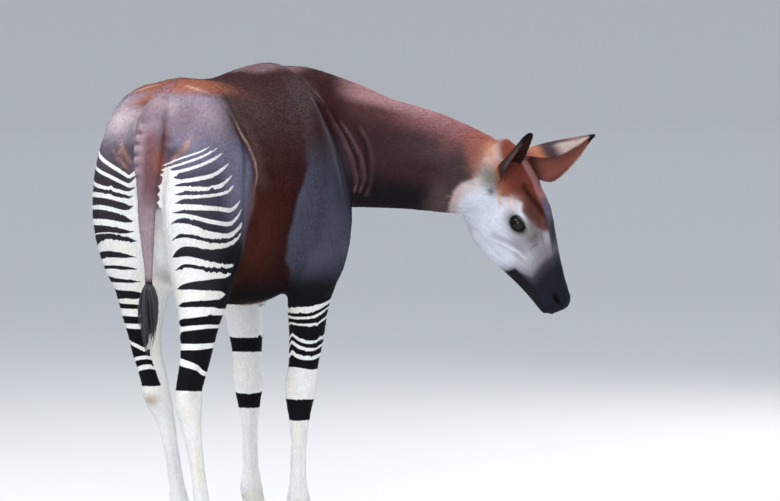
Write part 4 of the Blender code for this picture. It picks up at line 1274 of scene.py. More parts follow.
def paint(mesh, colours, names, part):
    """Writes the markings, the coat's lie and its fields on the skin."""
    points, normals = points_of(mesh), normals_of(mesh)
    kind = kinds_of(names, part)
    colour = trunk_colours(points, colours)
    tail = on_tail(points)
    colour += tail[:, None] * (tail_colours(points, colours) - colour)
    ahead = (points - np.array(neck_cut()[0])) @ np.array(neck_cut()[1])
    on_face = np.where(
        (kind == "head") | (kind == "ear"), 1.0, rise(ahead, -0.05, 0.02) * (kind == "neck")
    )
    colour += on_face[:, None] * (head_colours(points, colours) - colour)
    for side in EARS:
        share = ear_places(side, points)[0]
        blend = rise(share, 0.02, 0.14) * (part == names.index("ear_" + side))
        colour += blend[:, None] * (ear_colours(side, points, normals, colours) - colour)
    f, r, z = body_places(points)
    phase, white, zone, fine = np.zeros((4, len(points)))
    for limb in LIMBS:
        right = r > 0.0 if limb.endswith("right") else r <= 0.0
        near = f < -0.02 if limb.startswith("hind") else f >= -0.02
        chosen = right & near & (kind != "head") & (kind != "ear") & (kind != "neck")
        if limb.startswith("fore"):
            chosen &= (z < 0.86) & ((f > 0.11) | (z < 0.74))
        else:
            chosen &= (f < -0.22) | (z < 0.7)
        phase[chosen], white[chosen], turn, fine[chosen] = stripe_fields(limb, points[chosen])
        zone[chosen] = white_zone(limb, turn, z[chosen])
    put_attribute(mesh, "stripes", np.c_[phase, white * (1 - tail), zone * (1 - tail)])
    stain = blot(points, at(-0.575, 0.125, 0.545), (0.03, 0.022, 0.022))
    stain += blot(points, at(-0.385, -0.085, 0.5), (0.03, 0.022, 0.022))
    put_attribute(mesh, "marks", np.c_[np.clip(stain, 0, 1), fine, np.zeros(len(points))])
    put_attribute(mesh, "coat_colour", np.c_[np.clip(colour, 0, 1), np.ones(len(points))])
    put_attribute(mesh, "lie", lie_field(points, normals, part, names))
    put_attribute(mesh, "skin_normal", normals)
    length, fullness, lift = coat_fields(points, normals, part, names)
    put_attribute(mesh, "coat_length", length)
    put_attribute(mesh, "coat_fullness", fullness)
    put_attribute(mesh, "coat_lift", lift)


# --- materials
class Tree:
    """A short way to build a node tree."""

    def node(self, kind, **values):
        found = self.tree.nodes.new(kind if "Node" in kind else "ShaderNode" + kind)
        for name, value in values.items():
            setattr(found, name, value)
        return found

    def put(self, socket, value):
        if hasattr(value, "is_output"):
            self.tree.links.new(value, socket)
        else:
            socket.default_value = value

    def math(self, operation, *values):
        found = self.node("Math", operation=operation)
        for socket, value in zip(found.inputs, values):
            self.put(socket, value)
        return found.outputs[0]


class Nodes(Tree):
    """A material's node tree."""

    def __init__(self, name):
        self.material = bpy.data.materials.new(name)
        self.material.use_nodes = True
        self.tree = self.material.node_tree
        self.shader = self.tree.nodes["Principled BSDF"]

    def spread(self, value, low, high, to_low=0.0, to_high=1.0):
        found = self.node("MapRange", interpolation_type="SMOOTHSTEP")
        for socket, number in zip(found.inputs, (value, low, high, to_low, to_high)):
            self.put(socket, number)
        return found.outputs[0]

    def mix(self, share, first, second):
        found = self.node("Mix", data_type="RGBA", blend_type="MIX")
        for k, value in ((0, share), (6, first), (7, second)):
            self.put(found.inputs[k], value)
        return found.outputs[2]

    def attribute(self, name, output="Fac"):
        return self.node("Attribute", attribute_name=name).outputs[output]

    def noise(self, scale, detail=3.0, vector=None):
        found = self.node("TexNoise")
        if vector is None:
            vector = self.node("TexCoord").outputs["Object"]
        values = {"Scale": scale, "Detail": detail, "Roughness": 0.55, "Vector": vector}
        for name, value in values.items():
            self.put(found.inputs[name], value)
        return found.outputs["Fac"]

    def set(self, **values):
        for name, value in values.items():
            self.put(self.shader.inputs[name.replace("_", " ")], value)

    def bump(self, height, strength, distance):
        found = self.node("Bump")
        for name, value in (("Strength", strength), ("Distance", distance), ("Height", height)):
            self.put(found.inputs[name], value)
        self.put(self.shader.inputs["Normal"], found.outputs[0])


def coat_material(name, settings, on_skin):
    """The coat: its painted base, white stripes with hairy edges, and streaks along its lie."""
    n = Nodes(name)
    place = n.node("TexCoord").outputs["Object"]
    lie = n.attribute("lie", "Vector")
    along = n.node("VectorMath", operation="DOT_PRODUCT")
    n.put(along.inputs[0], place)
    n.put(along.inputs[1], lie)
    # squeezing space along the lie stretches the pattern into hair
    squeeze = n.node("VectorMath", operation="SCALE")
    n.put(squeeze.inputs[0], lie)
    n.put(squeeze.inputs["Scale"], n.math("MULTIPLY", along.outputs["Value"], -0.86))
    hair_place = n.node("VectorMath", operation="ADD")
    n.put(hair_place.inputs[0], place)
    n.put(hair_place.inputs[1], squeeze.outputs[0])
    hair = n.noise(420.0, 3.0, hair_place.outputs[0])
    locks = n.noise(90.0, 4.0, hair_place.outputs[0])
    cloud = n.noise(7.0, 5.0, place)
    # stripes
    marks = n.node("SeparateXYZ")
    n.put(marks.inputs[0], n.attribute("marks", "Vector"))
    stain, fine = marks.outputs[:2]
    jitter = n.math("SUBTRACT", n.noise(300.0, 2.0, hair_place.outputs[0]), 0.5)
    wander = n.math("MULTIPLY", n.math("SUBTRACT", n.noise(24.0, 2.0, place), 0.5), 0.24)
    ragged = n.math("MULTIPLY", n.math("ADD", n.math("MULTIPLY", jitter, 0.13), wander), fine)
    stripes = n.node("SeparateXYZ")
    n.put(stripes.inputs[0], n.attribute("stripes", "Vector"))
    phase, share, plain = stripes.outputs
    shaky = n.math("ADD", phase, ragged)
    apart = n.math("ABSOLUTE", n.math("SUBTRACT", shaky, n.math("ROUND", shaky)))
    half = n.math("MULTIPLY", share, 0.5)
    edge = n.math("MULTIPLY", fine, 0.13)
    stripe = n.spread(n.math("SUBTRACT", half, apart), n.math("MULTIPLY", edge, -1.0), edge)
    thin_end = n.spread(half, n.math("MULTIPLY", fine, 0.02), n.math("MULTIPLY", fine, 0.12))
    stripe = n.math("MULTIPLY", stripe, thin_end)
    zone = n.spread(n.math("ADD", plain, n.math("MULTIPLY", jitter, 0.25)), 0.42, 0.58)
    white = n.math("MAXIMUM", stripe, zone)
    cream = n.mix(n.spread(cloud, 0.35, 0.75), (*settings.white[:], 1), (0.76, 0.73, 0.66, 1))
    cream = n.mix(n.math("MULTIPLY", stain, 0.75), cream, (0.3, 0.22, 0.1, 1))
    painted = n.attribute("coat_colour", "Color")
    colour = n.mix(white, painted, cream)
    shade = n.spread(locks, 0.25, 0.75, 0.92, 1.07)
    shade = n.math("ADD", shade, n.spread(cloud, 0.3, 0.7, -0.07, 0.07))
    shade = n.math("MULTIPLY", shade, n.spread(hair, 0.3, 0.7, 0.94, 1.06))
    if not on_skin:
        shade = n.math("MULTIPLY", shade, n.spread(n.attribute("tuft_shade"), 0.0, 1.0, 0.9, 1.1))
    shaded = n.node("VectorMath", operation="SCALE")
    n.put(shaded.inputs[0], colour)
    n.put(shaded.inputs["Scale"], shade)
    n.set(Base_Color=shaded.outputs[0])
    n.set(Roughness=n.spread(locks, 0.2, 0.8, 0.46, 0.58), IOR=1.07, Specular_IOR_Level=0.5)
    n.set(Sheen_Weight=0.008, Sheen_Roughness=0.4, Sheen_Tint=(0.72, 0.76, 1.0, 1))
    height = n.math("ADD", n.math("MULTIPLY", hair, 0.5), locks)
    n.bump(height, 0.32 if on_skin else 0.2, 0.0018)
    return n.material


def eye_material():
    """Dark brown iris round a wide dark pupil, under a wet surface."""
    n = Nodes("wet_eye")
    far = n.attribute("iris")
    streaks = n.noise(900.0, 2.0)
    iris = n.mix(n.spread(streaks, 0.3, 0.7), (0.01, 0.006, 0.005, 1), (0.004, 0.003, 0.003, 1))
    colour = n.mix(n.spread(far, 0.95, 1.05), iris, (0.02, 0.014, 0.012, 1))
    colour = n.mix(n.spread(n.attribute("pupil"), 1.15, 0.75), colour, (0.003, 0.003, 0.004, 1))
    n.set(Base_Color=colour, Roughness=0.14, IOR=1.33, Specular_IOR_Level=0.35)
    n.set(Coat_Weight=0.25, Coat_Roughness=0.04)
    return n.material


def horn_material():
    """Dull horn with growth rings, paler and worn towards the sole."""
    n = Nodes("hoof_horn")
    place = n.node("TexCoord").outputs["Object"]
    level = n.node("SeparateXYZ")
    n.put(level.inputs[0], place)
    rings = n.math("MULTIPLY", level.outputs[2], 1500.0)
    rings = n.math("SINE", n.math("ADD", rings, n.math("MULTIPLY", n.noise(30.0), 9.0)))
    wear = n.spread(level.outputs[2], 0.02, 0.0)
    colour = n.mix(
        n.spread(n.noise(60.0, 5.0), 0.3, 0.7), (0.03, 0.024, 0.021, 1), (0.075, 0.058, 0.047, 1)
    )
    colour = n.mix(n.math("MULTIPLY", wear, 0.6), colour, (0.15, 0.12, 0.095, 1))
    n.set(Base_Color=colour, Roughness=n.spread(n.noise(120.0, 4.0), 0.3, 0.7, 0.42, 0.66))
    n.bump(n.math("ADD", rings, n.noise(400.0, 3.0)), 0.3, 0.0006)
    return n.material


def tuft_material():
    """Long black hair with a cool shine, a few strands browner."""
    n = Nodes("tuft_hair")
    strand = n.attribute("strand")
    colour = n.mix(strand, (0.01, 0.01, 0.014, 1), (0.03, 0.024, 0.026, 1))
    streak = n.spread(n.noise(700.0, 3.0), 0.3, 0.7, 0.6, 1.4)
    shaded = n.node("VectorMath", operation="SCALE")
    n.put(shaded.inputs[0], colour)
    n.put(shaded.inputs["Scale"], streak)
    n.set(Base_Color=shaded.outputs[0], Roughness=n.spread(streak, 0.6, 1.4, 0.34, 0.5))
    n.set(Sheen_Weight=0.1, Sheen_Tint=(0.7, 0.78, 1.0, 1))
    n.bump(n.noise(900.0, 2.0), 0.3, 0.0006)
    return n.material


# --- pieces
def make_skin(settings, colours):
    obj = join_skin(trunk_skin(settings), head_skin(settings))
    for side in (1, -1):
        points, faces = lid_form(side)
        with editing(obj.data) as form:
            lids = [form.verts.new(point) for point in points]
            for face in faces:
                form.faces.new([lids[i] for i in face])
    mesh = obj.data
    mesh.update()
    names, part = nearest_nodes(points_of(mesh))
    paint(mesh, colours, names, part)
    mesh.shade_smooth()
    mesh.materials.clear()
    mesh.materials.append(coat_material("skin_and_coat", colours, True))
    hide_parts(*TRUNK_NODES, *HEAD_NODES)
    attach(obj, BODY)


def make_eye(name, side):
    """An eyeball with a clear bulge in front, and its iris and level pupil painted on it."""
    centre, look, along, up = eye_axes(side)
    rows, turns = 30, 48
    points, iris, pupil = [], [], []
    for row in range(rows + 1):
        bend = math.pi * row / rows
        for k in range(turns):
            turn = 2 * math.pi * k / turns
            flat = along * math.cos(turn) + up * math.sin(turn)
            radius = EYE_RADIUS - EYE_GAP + EYE_BULGE * math.exp(-((bend / 0.55) ** 2))
            points.append(centre + (look * math.cos(bend) + flat * math.sin(bend)) * radius)
            x, y = math.sin(bend) * math.cos(turn), math.sin(bend) * math.sin(turn)
            iris.append(bend / 0.66)
            pupil.append(math.hypot(x / 0.42, y / 0.24) if bend < 1.5 else 9.0)
    faces = [(a, d, c, b) for a, b, c, d in ring_faces(rows + 1, turns)]
    mesh = mesh_from("glossy_" + name, points, faces)
    put_attribute(mesh, "iris", np.array(iris))
    put_attribute(mesh, "pupil", np.array(pupil))
    with editing(mesh) as form:
        bmesh.ops.remove_doubles(form, verts=form.verts, dist=1e-6)
        bmesh.ops.recalc_face_normals(form, faces=form.faces)
    mesh.shade_smooth()
    mesh.materials.append(bpy.data.materials.get("wet_eye") or eye_material())
    obj = new_object("glossy_" + name, mesh)
    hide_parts(name)
    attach(obj, BODY)


def make_hoof(node):
    """A claw of horn with rounded edges and raised growth rings."""
    mesh = bpy.data.meshes.new("horn_" + node)
    with editing(mesh) as form:
        form.from_mesh(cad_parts[node].data)
        bmesh.ops.remove_doubles(form, verts=form.verts, dist=MERGE_REACH)
        bmesh.ops.dissolve_limit(form, angle_limit=0.02, verts=form.verts, edges=form.edges)
        bmesh.ops.triangulate(form, faces=form.faces)
    obj = new_object("horn_" + node, mesh)
    fuse(obj, HOOF_GRAIN)
    relax(obj.data, 3)
    points, normals = points_of(obj.data), normals_of(obj.data)
    ring = np.sin(points[:, 2] * 900 + np.sin(points[:, 0] * 90) * 1.2)
    side = 1 - np.abs(normals[:, 2])
    points += normals * (0.0004 * ring * side * rise(points[:, 2], 0.002, 0.006))[:, None]
    points[:, 2] = np.maximum(points[:, 2], 0.0)
    set_points(obj.data, points)
    obj.data.shade_smooth()
    obj.data.materials.clear()
    obj.data.materials.append(bpy.data.materials.get("hoof_horn") or horn_material())
    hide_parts(node)
    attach(obj, BODY)


def make_tail_tuft(settings):
    """The tail's tuft: fine tapered locks that swell round the tail's end and fall to wisps."""
    draw = np.random.default_rng(settings.seed)
    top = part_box("tail_tuft")[1].z
    core = at(-0.598, 0.021, 0.845)
    all_points, all_faces, strand = [], [], []
    for k in range(settings.tuft_locks):
        turn = draw.uniform(0, 2 * math.pi)
        depth = draw.uniform(0.15, 1.0) ** 0.6
        start = draw.uniform(-0.03, 0.055)
        long = k % 9 == 0
        length = (0.205 if long else 0.15) * draw.uniform(0.72, 1.0) - max(start, 0) * 0.6
        swell = 0.03 * depth * (0.8 if long else 1.0)
        sway = draw.uniform(-0.006, 0.006, 2)
        path, radii = [], []
        for share in np.linspace(0, 1, 8):
            fullness = math.sin(math.pi * min(share * 0.92 + 0.02, 1)) ** 0.8
            spread = 0.006 + swell * fullness * (1 - 0.35 * share)
            x = math.cos(turn + 0.5 * share) * spread + sway[0] * share
            y = math.sin(turn + 0.5 * share) * spread + sway[1] * share
            level = top + 0.004 - start * (start > 0) - length * share
            path.append(Vector((core.x + x, core.y + y, level)))
            radius = 0.0022 * (0.55 + math.sin(math.pi * share) * 0.7)
            radii.append(radius * (1 - share) ** 0.45 + 0.00015)
        points, faces = tube(path, radii, 5, 0.55, (math.cos(turn + 1.4), math.sin(turn + 1.4), 0))
        all_faces += [tuple(i + len(all_points) for i in face) for face in faces]
        all_points += list(points)
        strand += [draw.uniform() ** 3] * len(points)
    mesh = mesh_from("tuft_of_hair", all_points, all_faces)
    put_attribute(mesh, "strand", np.array(strand))
    with editing(mesh) as form:
        bmesh.ops.recalc_face_normals(form, faces=form.faces)
    mesh.shade_smooth()
    mesh.materials.append(tuft_material())
    obj = new_object("tuft_of_hair", mesh)
    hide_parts("tail_tuft")
    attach(obj, BODY)


# --- coat
def tuft_seed():
    """One small tapered tuft, lying along +Y, its root sunk and its back arched."""
    rings = (
        ((-0.5, 0.0, -0.55), (0.5, 0.0, -0.55), (0.0, 0.0, 0.1)),
        ((-0.42, 0.48, 0.05), (0.42, 0.48, 0.05), (0.0, 0.48, 0.6)),
    )
    points = [point for ring in rings for point in ring] + [(0.0, 1.0, 0.12)]
    faces = [(0, 2, 1)]
    for k in range(3):
        n = (k + 1) % 3
        faces += [(k, n, n + 3, k + 3), (k + 3, n + 3, 6)]
    mesh = mesh_from("tuft_seed", points, faces)
    with editing(mesh) as form:
        bmesh.ops.triangulate(form, faces=form.faces)
        bmesh.ops.recalc_face_normals(form, faces=form.faces)
    return mesh


class Growing(Tree):
    """The geometry tree that grows tufts over a surface."""

    def __init__(self, name):
        self.tree = bpy.data.node_groups.new(name, "GeometryNodeTree")
        self.start = self.tree.nodes.new("NodeGroupInput")
        self.end = self.tree.nodes.new("NodeGroupOutput")

    def socket(self, name, kind, way_in=True, value=None):
        found = self.tree.interface.new_socket(
            name=name, in_out="INPUT" if way_in else "OUTPUT", socket_type="NodeSocket" + kind
        )
        if value is not None:
            found.default_value = value
        return found.identifier

    def named(self, name, kind="FLOAT"):
        found = self.node("GeometryNodeInputNamedAttribute", data_type=kind)
        found.inputs["Name"].default_value = name
        return found.outputs["Attribute"]

    def random(self, low, high, seed):
        found = self.node("FunctionNodeRandomValue", data_type="FLOAT")
        self.put(found.inputs[2], low)
        self.put(found.inputs[3], high)
        self.put(found.inputs["Seed"], seed)
        return found.outputs[1]


SHARED_FIELDS = (
    ("stripes", "FLOAT_VECTOR"),
    ("coat_colour", "FLOAT_COLOR"),
    ("marks", "FLOAT_VECTOR"),
    ("lie", "FLOAT_VECTOR"),
    ("skin_normal", "FLOAT_VECTOR"),
)


def coat_tree(tuft):
    """Grows tufts over a surface, along its lie, where the coat's share of a part is set."""
    g = Growing("grow_coat")
    ids = {
        "surface": g.socket("Surface", "Geometry"),
        "density": g.socket("Tufts per m2", "Float", value=30000.0),
        "width": g.socket("Tuft width", "Float", value=0.0022),
        "thick": g.socket("Tuft thickness", "Float", value=0.0009),
        "seed": g.socket("Seed", "Int", value=1),
        "finish": g.socket("Finish", "Material"),
    }
    g.socket("Coat", "Geometry", way_in=False)
    inputs = g.start.outputs
    scatter = g.node("GeometryNodeDistributePointsOnFaces", distribute_method="RANDOM")
    g.put(scatter.inputs["Mesh"], inputs["Surface"])
    fullness = g.math("MULTIPLY", g.named("coat_fullness"), g.named("coat_here"))
    g.put(scatter.inputs["Density"], g.math("MULTIPLY", fullness, inputs["Tufts per m2"]))
    g.put(scatter.inputs["Seed"], inputs["Seed"])
    keep_root = g.node("GeometryNodeStoreNamedAttribute", data_type="FLOAT_VECTOR", domain="POINT")
    g.put(keep_root.inputs["Geometry"], scatter.outputs["Points"])
    keep_root.inputs["Name"].default_value = "root"
    g.put(keep_root.inputs["Value"], g.node("GeometryNodeInputPosition").outputs[0])
    shade = g.node("GeometryNodeStoreNamedAttribute", data_type="FLOAT", domain="POINT")
    g.put(shade.inputs["Geometry"], keep_root.outputs[0])
    shade.inputs["Name"].default_value = "tuft_shade"
    g.put(shade.inputs["Value"], g.random(0.0, 1.0, 7))
    stand = g.node("FunctionNodeAlignRotationToVector", axis="Z")
    g.put(stand.inputs["Vector"], scatter.outputs["Normal"])
    lay_down = g.node("FunctionNodeAlignRotationToVector", axis="Y", pivot_axis="Z")
    g.put(lay_down.inputs["Rotation"], stand.outputs[0])
    g.put(lay_down.inputs["Vector"], g.named("lie", "FLOAT_VECTOR"))
    turn = g.node("FunctionNodeEulerToRotation")
    angles = g.node("ShaderNodeCombineXYZ")
    g.put(angles.inputs[0], g.math("MULTIPLY", g.named("coat_lift"), g.random(0.5, 1.6, 11)))
    g.put(angles.inputs[2], g.random(-0.22, 0.22, 13))
    g.put(turn.inputs[0], angles.outputs[0])
    lifted = g.node("FunctionNodeRotateRotation", rotation_space="LOCAL")
    g.put(lifted.inputs[0], lay_down.outputs[0])
    g.put(lifted.inputs[1], turn.outputs[0])
    size = g.node("ShaderNodeCombineXYZ")
    g.put(size.inputs[0], g.math("MULTIPLY", inputs["Tuft width"], g.random(0.7, 1.3, 17)))
    g.put(size.inputs[1], g.math("MULTIPLY", g.named("coat_length"), g.random(0.7, 1.3, 19)))
    g.put(size.inputs[2], inputs["Tuft thickness"])
    seed = g.node("GeometryNodeObjectInfo")
    seed.inputs["Object"].default_value = tuft
    grow = g.node("GeometryNodeInstanceOnPoints")
    g.put(grow.inputs["Points"], shade.outputs[0])
    g.put(grow.inputs["Instance"], seed.outputs["Geometry"])
    g.put(grow.inputs["Rotation"], lifted.outputs[0])
    g.put(grow.inputs["Scale"], size.outputs[0])
    real = g.node("GeometryNodeRealizeInstances")
    g.put(real.inputs[0], grow.outputs[0])
    # each point of a tuft takes the skin's markings where it lies itself, so stripes stay sharp
    coat = real.outputs[0]
    for name, kind in SHARED_FIELDS:
        sample = g.node("GeometryNodeSampleNearestSurface", data_type=kind)
        g.put(sample.inputs["Mesh"], inputs["Surface"])
        g.put(sample.inputs["Value"], g.named(name, kind))
        keep = g.node("GeometryNodeStoreNamedAttribute", data_type=kind, domain="POINT")
        g.put(keep.inputs["Geometry"], coat)
        keep.inputs["Name"].default_value = name
        g.put(keep.inputs["Value"], sample.outputs["Value"])
        coat = keep.outputs[0]
    finish = g.node("GeometryNodeSetMaterial")
    g.put(finish.inputs["Geometry"], coat)
    g.put(finish.inputs["Material"], inputs["Finish"])
    g.put(g.end.inputs[0], finish.outputs[0])
    return g.tree, ids


COAT_PARTS = tuple(
    "head ears neck right_flank right_rump left_flank left_rump forelegs hindlegs tail".split()
)


def coat_part(points, names, part):
    """The number of the coat piece that each point of the skin belongs to."""
    f, r, z = body_places(points)
    kind = kinds_of(names, part)
    found = np.where(r > 0, 3, 5) + (f < -0.1)
    found[kind == "head"] = 0
    found[kind == "ear"] = 1
    found[kind == "neck"] = 2
    found[kind == "tail"] = 9
    leg = kind == "leg"
    found[leg] = np.where(f[leg] > -0.15, 7, 8)
    return found


def unwrap(part, roots):
    """Lays each root out on a flat map of the skin, rolled off its own part."""
    f, r, z = body_places(roots)
    a, u, o = head_places(roots)
    name = COAT_PARTS[part]
    if name == "head":
        turn, level = np.arctan2(o, u + 0.05), a
    elif name == "ears":
        right = ear_places("right", roots)
        left = ear_places("left", roots)
        on_left = o < 0
        level = np.where(on_left, left[0], right[0])
        turn = np.where(on_left, left[1] + left[2] - 0.3, right[1] + right[2] + 0.3)
    elif name == "neck":
        reach = 0.35 * f + 0.8 * r
        turn, level = np.arctan2(f - 0.55 + 0.5 * (r - 0.25), z - 1.18), reach
    elif name in ("forelegs", "hindlegs"):
        side = np.where(r > 0, 1, -1)
        limb = name[:4]
        fr, rr = limb_axis(limb + "_right", z)
        fl, rl = limb_axis(limb + "_left", z)
        centre_f, centre_r = np.where(r > 0, fr, fl), np.where(r > 0, rr, rl)
        turn = np.arctan2(side * (r - centre_r), centre_f - f) + side * 3.5
        level = z
    elif name == "tail":
        turn, level = np.arctan2(r - 0.021, f + 0.6), z
    else:
        turn, level = np.arctan2(np.abs(r), z - 1.1), f
    found = np.c_[turn, level]
    low, high = found.min(0), found.max(0)
    return 0.01 + 0.98 * (found - low) / np.maximum(high - low, 1e-6)


def put_bake_map(mesh, part):
    """Gives each tuft a small patch of the map at its root's place."""
    roots = np.empty(len(mesh.vertices) * 3, np.float32)
    mesh.attributes["root"].data.foreach_get("vector", roots)
    places = unwrap(part, roots.reshape(-1, 3).astype(float))
    corner = read(mesh.loops, "vertex_index", 1, int)
    spread = ((-1, -1), (1, -1), (0, -0.6), (-0.8, 0), (0.8, 0), (0, 0.2), (0, 1))
    offset = np.array(spread) * 0.0015
    uv = places[corner] + offset[corner % 7]
    layer = mesh.uv_layers.new(name="OFBake")
    layer.uv.foreach_set("vector", uv.astype(np.float32).ravel())


def settle_normals(mesh, share):
    """Shades the tufts mostly as the skin under them, as a sleek coat lies."""
    under = read(mesh.attributes["skin_normal"].data, "vector", 3)
    found = normals_of(mesh) * (1 - share) + under * share
    found /= np.maximum(np.linalg.norm(found, axis=1), 1e-6)[:, None]
    mesh.normals_split_custom_set_from_vertices(found.tolist())
    mesh.attributes.remove(mesh.attributes["skin_normal"])


def make_coat(skin, settings, colours):
    """Grows the coat over the skin, one piece for each part of the animal."""
    tuft = new_object("tuft_seed", tuft_seed())
    tree, ids = coat_tree(tuft)
    finish = coat_material("coat_tufts", colours, False)
    points = points_of(skin.data)
    names, part = nearest_nodes(points)
    owner = coat_part(points, names, part)
    faces = [tuple(polygon.vertices) for polygon in skin.data.polygons]
    area = read(skin.data.polygons, "area", 1)
    first = read(skin.data.polygons, "loop_start", 1, int)
    first = read(skin.data.loops, "vertex_index", 1, int)[first]
    fullness = read(skin.data.attributes["coat_fullness"].data, "value", 1)
    for k, name in enumerate(COAT_PARTS):
        put_attribute(skin.data, "coat_here", (owner == k).astype(float))
        weight = (area * fullness[first])[owner[first] == k].sum()
        density = min(settings.density, settings.most_tufts / max(weight, 1e-6))
        obj = new_object("coat_" + name, skin.data.copy())
        modifier = obj.modifiers.new("grow", "NODES")
        modifier.node_group = tree
        modifier[ids["density"]] = float(density)
        on_face = name in ("head", "ears")
        modifier[ids["width"]] = float(settings.width * (0.55 if on_face else 1.0))
        modifier[ids["thick"]] = float(settings.thickness * (0.5 if on_face else 1.0))
        modifier[ids["seed"]] = settings.seed + k
        modifier[ids["finish"]] = finish
        mesh = bake(obj)
        put_bake_map(mesh, k)
        for attribute in ("root", "coat_here", "coat_length", "coat_fullness", "coat_lift"):
            if attribute in mesh.attributes:
                mesh.attributes.remove(mesh.attributes[attribute])
        mesh.shade_smooth()
        settle_normals(mesh, settings.sleek)
        mesh.materials.clear()
        mesh.materials.append(finish)
        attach(obj, BODY)
    for attribute in ("coat_here", "skin_normal"):
        skin.data.attributes.remove(skin.data.attributes[attribute])
    bpy.data.objects.remove(tuft)


# --- stage
CAMERA_PLACE = (-10.77016, 5.31295, 1.576)  # forward, right, up
CAMERA_TURN, CAMERA_TILT = math.radians(24.0), math.radians(3.08)
CAMERA_LENS, SENSOR = 183.14, 36.0


def make_camera():
    camera = new_object("camera", bpy.data.cameras.new("camera"))
    look = way(math.cos(CAMERA_TURN), -math.sin(CAMERA_TURN), 0) * math.cos(CAMERA_TILT)
    look += way(0, 0, -1) * math.sin(CAMERA_TILT)
    camera.location = at(*CAMERA_PLACE)
    camera.rotation_euler = look.to_track_quat("-Z", "Y").to_euler()
    camera.data.lens = CAMERA_LENS
    camera.data.sensor_width = SENSOR
    camera.data.clip_end = 200
    bpy.context.scene.camera = camera


def make_floor(settings):
    """A round floor that curves up into a low wall on every side."""
    n = Nodes("pale_floor")
    n.set(Base_Color=(*settings.floor[:], 1), Roughness=0.9, Specular_IOR_Level=0.1)
    turns, bend = 96, 14
    reach, curve_radius = settings.floor_reach, settings.floor_curve
    profile = [(0.0, 0.0), (reach * 0.2, 0.0)]
    for k in range(bend + 1):
        turn = math.pi / 2 * k / bend
        profile.append((reach + curve_radius * math.sin(turn), curve_radius * (1 - math.cos(turn))))
    profile.append((reach + curve_radius, curve_radius + settings.wall_height))
    points, faces = [(0, 0, 0)], []
    for far, level in profile[1:]:
        for j in range(turns):
            turn = 2 * math.pi * j / turns
            points.append((far * math.cos(turn), far * math.sin(turn), level))
    for j in range(turns):
        i = (j + 1) % turns
        faces.append((0, 1 + j, 1 + i))
        for k in range(len(profile) - 2):
            low, high = 1 + k * turns, 1 + (k + 1) * turns
            faces.append((low + j, high + j, high + i, low + i))
    floor = new_object("floor", mesh_from("floor", points, faces))
    floor.location.z = -0.0005
    floor.data.shade_smooth()
    floor.data.materials.append(n.material)


def make_light(name, place, aim, size, power, colour):
    light = bpy.data.lights.new(name, "AREA")
    light.shape = "DISK"
    light.size = size
    light.energy = power
    light.color = colour
    obj = new_object(name, light)
    obj.location = place
    obj.rotation_euler = (Vector(aim) - Vector(place)).to_track_quat("-Z", "Y").to_euler()


def make_world(settings):
    world = bpy.data.worlds.new("studio")
    bpy.context.scene.world = world
    world.use_nodes = True
    back = world.node_tree.nodes["Background"]
    back.inputs["Color"].default_value = (*settings.world[:], 1)
    back.inputs["Strength"].default_value = settings.world_strength
    bpy.context.scene.view_settings.view_transform = "Standard"


# --- settings and operators
def colour_setting(name, description, value):
    return FloatVectorProperty(
        name=name, description=description, default=value, min=0, max=1, size=3, subtype="COLOR"
    )


def length_setting(name, description, value, low):
    return FloatProperty(name=name, description=description, default=value, min=low, unit="LENGTH")


def count_setting(name, description, value, low):
    return IntProperty(name=name, description=description, default=value, min=low)


def power_setting(name, description, value):
    return FloatProperty(name=name, description=description, default=value, min=0.0, unit="POWER")


class OkapiSkinSettings(bpy.types.PropertyGroup):
    """Sizes of the skin."""

    body_grain: length_setting(
        "Body grain", "Grain in which the trunk and legs are fused", 0.007, 0.004
    )
    head_grain: length_setting("Head grain", "Grain in which the head is fused", 0.0025, 0.0015)
    coat_depth: length_setting(
        "Coat depth", "How deep the skin lies under the coat's outside", 0.0022, 0.0
    )
    body_triangles: count_setting(
        "Body triangles", "Triangles that the trunk and legs are thinned to", 106000, 1000
    )
    head_triangles: count_setting(
        "Head triangles", "Triangles that the head is thinned to", 86000, 1000
    )


class OkapiColours(bpy.types.PropertyGroup):
    """Colours of the coat."""

    mahogany: colour_setting("Mahogany", "Flanks", (0.038, 0.0095, 0.0088))
    back: colour_setting("Back", "Red-brown of the back", (0.04, 0.013, 0.013))
    # Charcoal and shoulder hold painted bluish sheen over the coat's own dark colours
    charcoal: colour_setting("Charcoal", "Outside of the thighs", (0.17, 0.165, 0.24))
    shoulder: colour_setting("Shoulder", "Shoulder and upper forelegs", (0.078, 0.08, 0.115))
    # The rump's and the tail's mauve are partly painted sheen, and the croup's orange is partly
    # painted sunlight
    rump: colour_setting("Rump", "Mauve-brown of the rump", (0.23, 0.18, 0.225))
    croup: colour_setting("Croup", "Orange-brown over the hips", (0.3, 0.1, 0.055))
    tail: colour_setting("Tail", "Mauve-brown of the tail", (0.28, 0.195, 0.225))
    black: colour_setting("Black", "Bands of the legs", (0.0085, 0.008, 0.01))
    white: colour_setting("White", "Stripes and stockings", (0.87, 0.88, 0.89))
    cheek: colour_setting("Cheek", "Pale grey of the cheeks", (0.66, 0.69, 0.78))
    forehead: colour_setting("Forehead", "Red-brown of the forehead", (0.185, 0.045, 0.03))
    muzzle: colour_setting("Muzzle", "Slate of the muzzle", (0.015, 0.016, 0.024))
    ear_back: colour_setting("Ear back", "Orange-brown of the ears' backs", (0.36, 0.135, 0.075))
    ear_inside: colour_setting("Ear inside", "Dusky brown inside the ears", (0.29, 0.105, 0.08))


